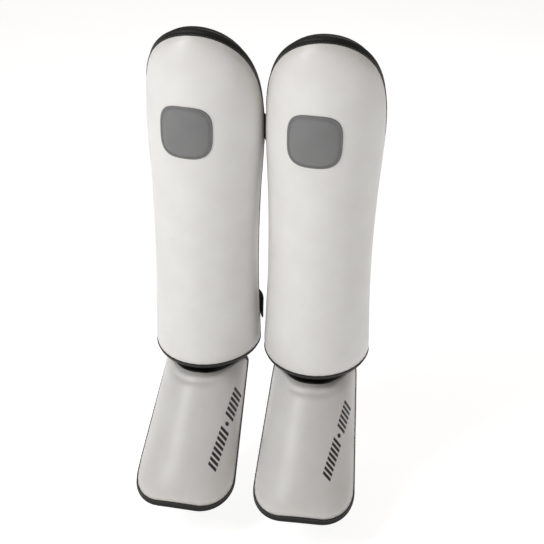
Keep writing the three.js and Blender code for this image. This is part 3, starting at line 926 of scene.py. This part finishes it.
def binding_shape(pad):
    """The bound edge: lips on the cover and the lining, and two rolls with a groove between."""
    levels = ROLL_LEVELS + [1 - level for level in ROLL_LEVELS[-2::-1]]
    rolls = [(roll_out(level), level, 0) for level in levels]
    profile = LIP + rolls + LEG_LIP + UNDERSIDE
    on_cover = [*range(len(LIP)), len(profile) - 2, len(profile) - 1]
    lips = [pad.lip if k in on_cover and place[0] > 0 else 1 for k, place in enumerate(profile)]
    ring = [pad.at(lip * inset, level, offset)
            for lip, (inset, level, offset) in zip(lips, profile)]
    points, faces = swept(np.stack(ring, 1), True)
    across = np.cumsum([0] + [
        math.dist((a[0], a[1] * 10 + a[2]), (b[0], b[1] * 10 + b[2]))
        for a, b in zip(profile, profile[1:])
    ])
    along = np.arange(pad.count) / pad.count * pad.length
    uv = np.stack(np.meshgrid(along, across, indexing="ij"), -1).reshape(-1, 2) * MM
    crest = [0.35] * len(LIP) + [abs(math.sin(2 * math.pi * level)) for level in levels]
    crest += [0.3] * (len(LEG_LIP) + len(UNDERSIDE))
    return points, faces, uv, {"crest": np.tile(crest, pad.count)}


def rim_stitches(pad, inset, level, offset, normals):
    return stitch_row(pad.at(inset, level, offset), normals, *RIM_STITCH)


SEAM_END_GAP = 7
SEAM_ROOM_SCALE = 60
SEAM_REACH_SHIN = 1.45
SEAM_REACH_INSTEP = 0.95
SEAM_FEWEST_POINTS = 20


def seam_line(pad, across):
    """The places of a lining's quilting seam in the pad's wall, clear of the rim."""
    if pad is SHIN:
        z = np.linspace(0, SHIN_HEIGHT, 500)
        room = (wrap_angle(z, station_value(z / SHIN_HEIGHT)) - abs(across)) * SEAM_ROOM_SCALE
        room = np.minimum(room, np.minimum(z, SHIN_HEIGHT - z))
    else:
        z = np.linspace(-EAR_RISE, INSTEP_LENGTH, 400)
        top, toe = instep_ends(min(abs(across), 1))
        room = np.minimum(z - top, toe - z) + min(0, (1 - abs(across)) * SEAM_ROOM_SCALE - 8)
    inside = z[room > SEAM_END_GAP]
    return stacked(np.full(len(inside), across), inside)


def seam_stitches(pad):
    rows = []
    reach = SEAM_REACH_SHIN if pad is SHIN else SEAM_REACH_INSTEP
    for k in range(-3, 4):
        across = (k + 0.5) * pad.channels
        line = seam_line(pad, across)
        if len(line) > SEAM_FEWEST_POINTS and abs(across) < reach:
            face = pad.wall(line, 0, 0)
            normals = unit(face - pad.wall(line, 1, 0))
            rows.append(stitch_row(face + normals * 0.1, normals, *SEAM_STITCH, closed=False))
    return joined(rows)


# ---------------------------------------------------------------- patch and print
def patch_spots(radius, turns):
    def soften(value):
        return np.sign(value) * np.abs(value) ** PATCH_SOFTNESS
    x = PATCH_SHIFT + radius * PATCH_HALF_WIDTH * soften(np.cos(turns))
    z = PATCH_Z + radius * PATCH_HALF_HEIGHT * soften(np.sin(turns))
    return stacked(x / station_value(z / SHIN_HEIGHT), z)


PATCH_TURNS = np.linspace(0, 2 * math.pi, 160, endpoint=False)
PATCH_TOP = [
    (1.0, -0.2), (1.0, 0.5), (0.993, 0.85), (0.98, 1.1), (0.96, 1.2), (0.94, 1.1), (0.925, 0.85),
    (0.91, 0.75), (0.895, 0.85), (0.87, 1.15), (0.83, 1.35), (0.77, 1.5), (0.68, 1.6), (0.58, 1.6),
    (0.47, 1.6), (0.36, 1.6), (0.25, 1.6), (0.14, 1.6), (0.05, 1.6),
]
PATCH_BACK = [(0.05, -0.2), (0.3, -0.2), (0.6, -0.2), (0.9, -0.2)]


def patch_shape():
    """A sewn-on patch with a rolled edge, a stitched border and a slightly padded middle."""
    rows = PATCH_TOP + PATCH_BACK
    spots = [patch_spots(radius, PATCH_TURNS) for radius, _ in rows]
    points = np.concatenate([skin(SHIN, spot, lift) for spot, (_, lift) in zip(spots, rows)])
    count = len(PATCH_TURNS)
    ends = len(PATCH_TOP) * count
    faces = ring_quads(len(PATCH_TOP), count)
    faces += ring_quads(len(PATCH_BACK), count, base=ends)
    last = len(points) - count
    faces += [[last + i, last + (i + 1) % count, (i + 1) % count, i] for i in range(count)]
    faces += [list(range(ends - count, ends)), list(range(ends, ends + count))]
    edge = np.repeat([smoothstep(radius, 0.8, 1.0) for radius, _ in rows], count)
    return points, faces, np.concatenate(spots) * SHIN.arc * MM, {"edge": edge * 0.8}


def patch_stitches():
    spots = patch_spots(0.91, PATCH_TURNS)
    normals = unit(SHIN.wall(spots, 1, 0) - SHIN.wall(spots, 0, 0))
    return stitch_row(skin(SHIN, spots, 0.95), normals, *PATCH_STITCH)


BAR_TALL = 13.5
BAR_SHARE = 0.6
BAR_LEAN = 4.5
BAR_SLOTS = 16
BAR_PLACES = [*range(8), *range(10, 16)]
DOT_PLACE = 8.76
DOT_RADIUS = 2.7


def printed_plate(spots):
    """A thin printed shape on the instep's cover, from a grid of places in the pad's wall."""
    rows, columns = spots.shape[:2]
    spots = spots.reshape(-1, 2)
    count = len(spots)
    top = skin(INSTEP, spots, 0.16)
    bottom = skin(INSTEP, spots, -0.3)
    faces = ring_quads(rows, columns, closed_columns=False)
    faces += [[i + count for i in face[::-1]] for face in faces]
    rim = (list(range(columns)) + [r * columns + columns - 1 for r in range(1, rows)]
           + list(range(count - 2, count - columns - 1, -1))
           + [r * columns for r in range(rows - 2, 0, -1)])
    faces += [[a, b, b + count, a + count] for a, b in zip(rim, rim[1:] + rim[:1])]
    return np.concatenate([top, bottom]), faces, np.tile(spots * INSTEP.arc * MM, (2, 1))


def bars_shape(start, end):
    """Two rows of plain slanted bars with a dot between, printed up one side of the instep."""
    start, end = (np.array(spot) * INSTEP.arc for spot in (start, end))
    length = np.linalg.norm(end - start)
    forward = (end - start) / length
    upward = np.array([forward[1], -forward[0]])
    pitch = length / BAR_SLOTS
    u, v = np.meshgrid(np.linspace(0, 1, 4), np.linspace(0, 1, 9), indexing="ij")
    rows = []
    for k in BAR_PLACES:
        along = (k + u * BAR_SHARE) * pitch + v * BAR_LEAN
        flat = start + along[..., None] * forward + (v * BAR_TALL)[..., None] * upward
        rows.append(printed_plate(flat / INSTEP.arc))
    a, b = 2 * u - 1, 2 * v - 1
    disc = stacked(a * np.sqrt(1 - b ** 2 / 2), b * np.sqrt(1 - a ** 2 / 2)) * DOT_RADIUS
    centre = start + DOT_PLACE * pitch * forward + (BAR_TALL * upward + BAR_LEAN * forward) / 2
    rows.append(printed_plate((centre + disc) / INSTEP.arc))
    return joined(rows)


# ---------------------------------------------------------------- straps
def strap_plan(z, degrees, offset):
    """A place on the leg loop behind the pad; 0 degrees is the closing side."""
    reach = wrap_angle(np.array(z), station_value(np.array(z / SHIN_HEIGHT)))
    rim = shin_wall(np.array([reach, z]), 0.5, 0)
    root_y = rim[1] + BINDING_GAP + BINDING_WIDTH + STRAP_ROOT_CLEARANCE
    half_width = rim[0] + STRAP_BULGE
    angle = np.radians(degrees)
    normal = unit(stacked(np.cos(angle) / half_width, np.sin(angle) / STRAP_HALF_DEPTH))
    offset = np.broadcast_to(offset, angle.shape)
    x = half_width * np.cos(angle) + normal[:, 0] * offset
    y = root_y + STRAP_CENTRE_BACK + STRAP_HALF_DEPTH * np.sin(angle) + normal[:, 1] * offset
    return stacked(x, y, np.full(len(angle), float(z)))


def band_section(width, thickness, edge=0.0):
    """A flat section with round edges, thicker along its selvedges by edge."""
    half, thick = width / 2, thickness / 2
    w = np.array([0, 0.3, 0.6, 0.8, 0.88, 0.93, 0.97, 1.0]) * half
    ridge = edge * smoothstep(w, half * 0.86, half * 0.94) * (1 - smoothstep(w, half * 0.94, half))
    t = thick + ridge
    t = t * np.sqrt(np.clip(1 - (np.clip(w - (half - thick), 0, None) / thick) ** 2, 0.02, 1))
    upper = np.concatenate([-w[:0:-1], w]), np.concatenate([t[:0:-1], t])
    return np.concatenate([
        np.stack(upper, -1),
        stacked(upper[0][::-1], -upper[1][::-1]),
    ])


BAND_CORNER = 4


def band_shape(line, width_way, width, thickness, edge=0.15, rounded=(True, True)):
    """A flat band along a line, with its width along width_way."""
    section = band_section(width, thickness, edge)
    _, lengths = loop_lengths(line, closed=False)
    tangent = unit(np.gradient(line, axis=0))
    width_way = unit(np.broadcast_to(width_way, line.shape))
    normal = unit(np.cross(tangent, width_way))
    narrow, thin = np.ones((2, len(line)))
    for end, at in zip(rounded, (lengths, lengths[-1] - lengths)):
        if end:
            narrow -= corner_cut(at, BAND_CORNER) / (width / 2)
            thin *= 0.35 + 0.65 * smoothstep(at, 0, 1.2)
    rings = (
        line[:, None]
        + width_way[:, None] * (section[:, 0] * narrow[:, None])[..., None]
        + normal[:, None] * (section[:, 1] * thin[:, None])[..., None]
    )
    return strip(rings, lengths, section[:, 0])


HOOK_OFFSET = (TAB_THICKNESS + HOOK_THICKNESS) / 2 + LAYER_GAP
STRAP_OFFSET = HOOK_OFFSET + (HOOK_THICKNESS + STRAP_THICKNESS) / 2 + LAYER_GAP
ROOT_TAIL = 7.5
ROOT_TAIL_POINTS = 9


def strap_line(z):
    degrees = np.linspace(STRAP_END_DEG, 180 + STRAP_ROOT_DEG, 90)
    closed = 1 - smoothstep(degrees, STRAP_CLOSING_DEG, STRAP_SETTLED_DEG)
    line = strap_plan(z, degrees, STRAP_OFFSET * closed)
    tail = line[-1] + np.outer(np.linspace(0, ROOT_TAIL, ROOT_TAIL_POINTS)[1:], [0.05, -1, 0])
    fine = line[0] + np.outer(np.linspace(0, 1, 6)[:-1], line[1] - line[0])
    return np.concatenate([fine, line[1:], tail])


def strap_shape(z):
    return band_shape(strap_line(z), UP, STRAP_WIDTH - 0.6, STRAP_THICKNESS, rounded=(True, False))


def tab_shape(z):
    line = strap_plan(z, np.linspace(-STRAP_ROOT_DEG, TAB_END_DEG, 44), 0)
    tail = line[0] + np.outer(np.linspace(ROOT_TAIL, 0, ROOT_TAIL_POINTS)[:-1], [-0.05, -1, 0])
    line = np.concatenate([tail, line])
    return band_shape(line, UP, STRAP_WIDTH - 0.4, TAB_THICKNESS, 0.1, (False, True))


HOOK_PITCH = 1.5
HOOK_FIELD = 11.5
HOOK_HALF_WIDTH = 0.28
HOOK_HALF_LENGTH = 0.2
HOOK_REACH = 0.55
HOOK_LEAN = 0.25


def hook_shape(z):
    """The hook patch with its field of small hooks."""
    degrees = np.linspace(HOOK_START_DEG, HOOK_END_DEG, 30)
    width = STRAP_WIDTH - 2 * HOOK_MARGIN
    backing = band_shape(strap_plan(z, degrees, HOOK_OFFSET + 0.3), UP, width, 0.6, 0)
    fine = np.linspace(HOOK_START_DEG + 1.5, HOOK_END_DEG - 1.5, 26)
    base = strap_plan(z, fine, HOOK_OFFSET + 0.1)
    inward = unit(strap_plan(z, fine, HOOK_OFFSET - 1) - base)
    forward = unit(np.gradient(base, axis=0))
    points, faces, uv = [], [], []
    for i, (spot, into, onward) in enumerate(zip(base, inward, forward)):
        wide, long = UP * HOOK_HALF_WIDTH, onward * HOOK_HALF_LENGTH
        for j in np.arange(0.5 * (i % 2) - HOOK_FIELD, HOOK_FIELD + 0.5, HOOK_PITCH):
            root = spot + UP * j
            start = len(points)
            points += [root + wide, root - wide + long, root - wide - long,
                       root + into * HOOK_REACH + onward * HOOK_LEAN]
            faces += [[start + k for k in f] for f in ([0, 1, 3], [1, 2, 3], [2, 0, 3], [2, 1, 0])]
            uv += [[root[0] * MM, root[2] * MM]] * 4
    return joined([backing, (np.array(points), faces, np.array(uv))])


def band_stitches(line, width_way, centre, thickness, spans):
    """Stitches on a band's outer face, each row from one (distance, height) on it to another."""
    _, lengths = loop_lengths(line, closed=False)
    tangent = unit(np.gradient(line, axis=0))
    normal = unit(np.cross(tangent, np.broadcast_to(width_way, tangent.shape)))
    outward = np.where(np.sum(normal * (line - centre), axis=1)[:, None] > 0, normal, -normal)
    rows = []
    for (start, low), (end, high) in spans:
        at = np.linspace(start, end, 24)
        way = unit(resample(outward, lengths, at))
        spot = resample(line, lengths, at) + np.outer(np.linspace(low, high, 24), width_way)
        rows.append(stitch_row(spot + way * (thickness / 2 + 0.05), way, *BAND_STITCH,
                               closed=False, sink=0.2))
    return joined(rows)


def strap_stitches(z):
    """Border stitching over the hook patch, and a crossed box where the strap is sewn down."""
    line = strap_line(z)
    top = STRAP_WIDTH / 2 - 2.6
    near, far = 3, 42
    end = loop_lengths(line, closed=False)[1][-1] - ROOT_TAIL - 1
    box = end - 20
    return band_stitches(line, UP, [0, 20, z], STRAP_THICKNESS, [
        ((near, top), (far, top)), ((near, -top), (far, -top)), ((near, -top), (near, top)),
        ((far, -top), (far, top)), ((box, top), (end, top)), ((box, -top), (end, -top)),
        ((box, -top), (box, top)), ((box, -top), (end, top)), ((box, top), (end, -top)),
    ])


# ---------------------------------------------------------------- ankle tongue and foot strap
def through_points(knots, shares):
    """A centripetal Catmull-Rom curve through knots, at shares of its number of spans."""
    knots = np.concatenate([[2 * knots[0] - knots[1]], knots, [2 * knots[-1] - knots[-2]]])
    spans = len(knots) - 3
    place = np.clip(shares, 0, 1) * spans
    span = np.minimum(np.floor(place).astype(int), spans - 1)
    f = (place - span)[:, None]
    p0, p1, p2, p3 = (knots[span + k] for k in range(4))
    d0, d1, d2 = (np.sqrt(np.linalg.norm(b - a, axis=1))[:, None]
                  for a, b in ((p0, p1), (p1, p2), (p2, p3)))
    t1 = ((p1 - p0) / d0 - (p2 - p0) / (d0 + d1) + (p2 - p1) / d1) * d1
    t2 = ((p2 - p1) / d1 - (p3 - p1) / (d1 + d2) + (p3 - p2) / d2) * d1
    cubic = 2 * p1 - 2 * p2 + t1 + t2
    square = -3 * p1 + 3 * p2 - 2 * t1 - t2
    return ((cubic * f + square) * f + t1) * f + p1


TONGUE_ROWS = 56
TONGUE_COLUMNS = 33
TONGUE_UV_LENGTH = 60
RIB_HEIGHT = 0.22
RIB_PITCH = 4.2


def rounded_tip(place, start, length):
    """Thickness of a sheet as a share, rounded off over a length past a start."""
    return np.sqrt(np.clip(1 - np.clip((place - start) / length, 0, 1) ** 2, 0.05, 1))


def tongue_shape():
    """The flexible strip inside the ankle, sewn to both linings."""
    lift = -(TONGUE_GAP + TONGUE_THICKNESS / 2)
    under = np.array(lift - BINDING_LIP - LAYER_GAP * 2)
    shares = np.linspace(0, 1, TONGUE_ROWS)
    sides = np.linspace(-1, 1, TONGUE_COLUMNS)
    columns = []
    for x in sides * TONGUE_HALF_WIDTH:
        angle = x / (SHIN_HALF_WIDTHS[0] - SHIN_SIDE_WALL)
        across = x / (INSTEP_HALF_WIDTH_ANKLE - INSTEP_SIDE_WALL)
        top = instep_wall(np.array([across, instep_ends(across)[0]]), 0, under)
        columns.append(through_points(np.stack([
            shin_wall(np.array([angle, TONGUE_REACH]), 0, np.array(lift)),
            shin_wall(np.array([angle, 2.0]), 0, np.array(lift)),
            top + UP_SLOPE * BINDING_WIDTH,
            top - UP_SLOPE * BINDING_WIDTH * 2,
            top - UP_SLOPE * TONGUE_REACH,
        ]), shares))
    middle = np.stack(columns, 1)
    normal = unit(np.cross(*np.gradient(middle, axis=(0, 1))))
    place = np.linspace(0, TONGUE_UV_LENGTH, TONGUE_ROWS)
    ribs = RIB_HEIGHT * np.sin(place * 2 * math.pi / RIB_PITCH) * bump_curve(place, 26, 13)
    edge = rounded_tip(np.abs(sides), 0.965, 0.035)
    ends = rounded_tip(np.abs(shares * 2 - 1), 0.975, 0.025)
    thick = TONGUE_THICKNESS / 2 * edge * ends[:, None]
    upper = middle + normal * (thick + ribs[:, None])[..., None]
    lower = middle - normal * (thick - ribs[:, None])[..., None]
    wide = sides * TONGUE_HALF_WIDTH
    return strip(np.concatenate([upper, lower[:, ::-1]], 1), place,
                 np.concatenate([wide, wide[::-1]]))


def foot_strap_line():
    middle = FOOT_STRAP_START + FOOT_STRAP_WIDTH / 2
    rim = instep_wall(np.array([1.0, middle]), 0.5, 0)
    rim_height = (rim[2] - INSTEP_TOP_Z + middle * math.sin(INSTEP_SLOPE)) / math.cos(INSTEP_SLOPE)
    root = rim_height - BINDING_GAP - BINDING_WIDTH - FOOT_STRAP_CLEARANCE
    half_width = rim[0] - FOOT_STRAP_INSET
    turn = np.linspace(0, math.pi, 70)
    tail = np.linspace(9, 0, 9)[:-1]
    x = np.concatenate([half_width - 0.12 * tail, half_width * np.cos(turn),
                        -half_width + 0.12 * tail[::-1]])
    under = -FOOT_STRAP_DEPTH * np.sin(turn)
    return over_foot(x, middle, root + np.concatenate([tail, under, tail[::-1]])), x


def foot_strap_shape():
    line, x = foot_strap_line()
    widening = (INSTEP_HALF_WIDTH_TOE - INSTEP_HALF_WIDTH_ANKLE) / INSTEP_LENGTH
    way = np.outer(widening * x / np.abs(x).max(), [1, 0, 0]) - UP_SLOPE
    return band_shape(line, way, FOOT_STRAP_WIDTH - 0.6, FOOT_STRAP_THICKNESS, 0.12, (False, False))


def foot_strap_stitches():
    """Two rows across each end of the foot strap, where it is sewn to the pad."""
    line, _ = foot_strap_line()
    length = loop_lengths(line, closed=False)[1][-1]
    reach = FOOT_STRAP_WIDTH / 2 - 2.5
    places = (11.5, 14.5, length - 11.5, length - 14.5)
    spans = [((place, -reach), (place, reach)) for place in places]
    return band_stitches(line, -UP_SLOPE, line.mean(0), FOOT_STRAP_THICKNESS, spans)


# ---------------------------------------------------------------- putting the guards together
SOFT_LEVELS = ((0, LINING_THICKNESS + LAYER_GAP), (SOFT_FOAM_SHARE, -LAYER_GAP / 2))
HARD_LEVELS = ((SOFT_FOAM_SHARE, LAYER_GAP / 2), (1, -COVER_THICKNESS - LAYER_GAP))
WHOLE_LEVELS = (SOFT_LEVELS[0], HARD_LEVELS[1])
FRONT_ROW_INSET = 1.7
BACK_ROW_INSET = 3.6


def pad_parts(prefix, pad):
    """Name, shape, material and slot of the parts both kinds of pad have."""
    front = wall_normal(pad, FRONT_ROW_INSET, 1)
    front_row = rim_stitches(pad, FRONT_ROW_INSET * pad.lip, 1, 0.62, front)
    edge_row = rim_stitches(pad, -GROOVE, 0.5, 0, pad.away)
    back_row = rim_stitches(pad, BACK_ROW_INSET, 0, -0.95, wall_normal(pad, BACK_ROW_INSET, 0))
    return [(f"{prefix}_{name}", *rest) for name, *rest in (
        ("cover", cover_shape(pad), COVER, "white_cover"),
        ("lining", lining_shape(pad), LINING, "black_lining"),
        ("binding", binding_shape(pad), TAPE, "black_binding"),
        ("front_stitching", front_row, BLACK_THREAD, "black_binding"),
        ("edge_stitching", edge_row, GREY_THREAD, "black_binding"),
        ("back_stitching", back_row, BLACK_THREAD, "black_binding"),
        ("quilting_stitching", seam_stitches(pad), BLACK_THREAD, "black_lining"),
    )]


STRAP_LEVELS = {"upper": UPPER_STRAP_Z, "lower": LOWER_STRAP_Z}
SHIN_PARTS = pad_parts("shin", SHIN) + [
    ("shin_soft_foam", foam_shape(SHIN, *SOFT_LEVELS), SOFT_FOAM, "soft_foam"),
    ("shin_hard_foam", foam_shape(SHIN, *HARD_LEVELS), HARD_FOAM, "hard_foam"),
    ("shin_patch", patch_shape(), PATCH, "grey_patch"),
    ("shin_patch_stitching", patch_stitches(), GREY_THREAD, "grey_patch"),
]
SHIN_PARTS += [(f"{level}_strap_loop_tab", tab_shape(z), ELASTIC, "black_elastic")
               for level, z in STRAP_LEVELS.items()]
INSTEP_PARTS = pad_parts("instep", INSTEP) + [
    ("instep_foam", foam_shape(INSTEP, *WHOLE_LEVELS), HARD_FOAM, "hard_foam"),
    ("foot_strap", foot_strap_shape(), ELASTIC, "black_elastic"),
    ("foot_strap_stitching", foot_strap_stitches(), BLACK_THREAD, "black_elastic"),
]
STRAP_PARTS = {level: [
    (f"{level}_strap", strap_shape(z), WEBBING, "black_webbing"),
    (f"{level}_strap_hook", hook_shape(z), HOOK, "hook_tape"),
    (f"{level}_strap_stitching", strap_stitches(z), BLACK_THREAD, "black_webbing"),
] for level, z in STRAP_LEVELS.items()}
TONGUE_PART = ("ankle_tongue", tongue_shape(), ELASTIC, "black_binding")
PRINT_LINES = {"left": ((0.64, 117), (0.95, 16)), "right": ((0.50, 115), (0.87, 22))}

ADDED = ("_stitching", "_print")


def add_piece(guard, side, part):
    """Adds a part to a guard, in place of the CAD node of the same name if there is one."""
    name, (points, faces, uv, marks), material, slot = part
    if side > 0 and name.startswith(tuple(STRAP_LEVELS)):
        points = points * [-1, 1, 1]
    piece = new_object(f"{guard}_{name}_piece", placed(points, side), faces, uv, marks)
    piece.data.materials.append(material)
    if not name.endswith(ADDED):
        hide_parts(f"{guard}_{name}")
    return piece


for guard, side in (("left", -1), ("right", 1)):
    for body, parts in (("shin", SHIN_PARTS), ("instep", INSTEP_PARTS)):
        for part in parts:
            name = part[0]
            piece = add_piece(guard, side, part)
            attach(piece, f"{guard}_{body}")
    for level, parts in STRAP_PARTS.items():
        for part in parts:
            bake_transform(add_piece(guard, side, part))
    prints = ("instep_print", bars_shape(*PRINT_LINES[guard]), INK, "black_binding")
    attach(add_piece(guard, side, prints), f"{guard}_instep")
    tongue = add_piece(guard, side, TONGUE_PART)
    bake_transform(tongue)


# ---------------------------------------------------------------- floor, light and camera
FLOOR_DROP = 0.048
FLOOR_SIZE = 36
FLOOR_RIM_RISE = 2.6
FLOOR_POINTS = 9
CAMERA_TURN, CAMERA_LIFT, CAMERA_ROLL = (math.radians(angle) for angle in (8.5, 26.8, 1.2))
CAMERA_DISTANCE = 1.267
CAMERA_TARGET = Vector((0.008, 0, 0.0894))
SENSOR_WIDTH = 36
FOCAL_PIXELS = 1040
PICTURE_PIXELS = 544
WORLD_COLOR = (1.0, 0.90, 0.80, 1.0)
WORLD_STRENGTH = 0.16

# Each light's place from the guards' middle, size, power and colour.
LIGHTS = {
    "key": ((-0.86, -0.82, 0.98), (0.5, 0.9), 10.5, (1.0, 1.0, 1.0)),
    "fill": ((1.6, -1.9, 0.5), (1.6, 1.6), 0.3, (1.0, 0.97, 0.93)),
    "back": ((0.3, 1.8, 1.6), (1.5, 1.0), 8, (1.0, 1.0, 1.0)),
}


def area_light(name, place, aim, size, watts, color):
    light = bpy.data.lights.new(name, "AREA")
    light.shape = "RECTANGLE"
    light.size, light.size_y = size
    light.energy = watts
    light.color = color
    obj = add_object(name, light)
    obj.location = place
    obj.rotation_mode = "QUATERNION"
    obj.rotation_quaternion = (Vector(aim) - Vector(place)).to_track_quat("-Z", "Y")


def add_floor():
    half = FLOOR_SIZE / 2
    steps = np.linspace(-half, half, FLOOR_POINTS)
    x, y = np.meshgrid(steps, steps, indexing="ij")
    rise = np.where(np.maximum(abs(x), abs(y)) == half, FLOOR_RIM_RISE, 0)
    points = stacked(x, y, cad_low.z - FLOOR_DROP + rise).reshape(-1, 3)
    faces = ring_quads(FLOOR_POINTS, FLOOR_POINTS, closed_columns=False)
    floor = new_object("floor", points, faces, uv=points[:, :2])
    if floor.data.polygons[0].normal.z < 0:
        floor.data.flip_normals()
    floor.data.materials.append(floor_material())


def add_camera():
    level = math.cos(CAMERA_LIFT)
    back = Vector((math.sin(CAMERA_TURN) * level, -math.cos(CAMERA_TURN) * level,
                   math.sin(CAMERA_LIFT)))
    right = Vector((math.cos(CAMERA_TURN), math.sin(CAMERA_TURN), 0))
    rolled = right * math.cos(CAMERA_ROLL) + back.cross(right) * math.sin(CAMERA_ROLL)
    data = bpy.data.cameras.new("camera")
    data.sensor_width = SENSOR_WIDTH
    data.lens = SENSOR_WIDTH * FOCAL_PIXELS / PICTURE_PIXELS
    camera = add_object("camera", data)
    turn = Matrix((rolled, back.cross(rolled), back)).transposed()
    place = CAMERA_TARGET + back * CAMERA_DISTANCE
    camera.matrix_world = Matrix.Translation(place) @ turn.to_4x4()
    bpy.context.scene.camera = camera


def add_world():
    world = bpy.data.worlds.new("studio")
    world.use_nodes = True
    background = world.node_tree.nodes["Background"]
    background.inputs["Color"].default_value = WORLD_COLOR
    background.inputs["Strength"].default_value = WORLD_STRENGTH
    bpy.context.scene.world = world


middle = (cad_low + cad_high) / 2
add_floor()
add_world()
for name, (place, *look) in LIGHTS.items():
    area_light(name, middle + Vector(place), middle, *look)
add_camera()
bpy.context.scene.view_settings.view_transform = "Standard"
bpy.context.scene.frame_set(1)
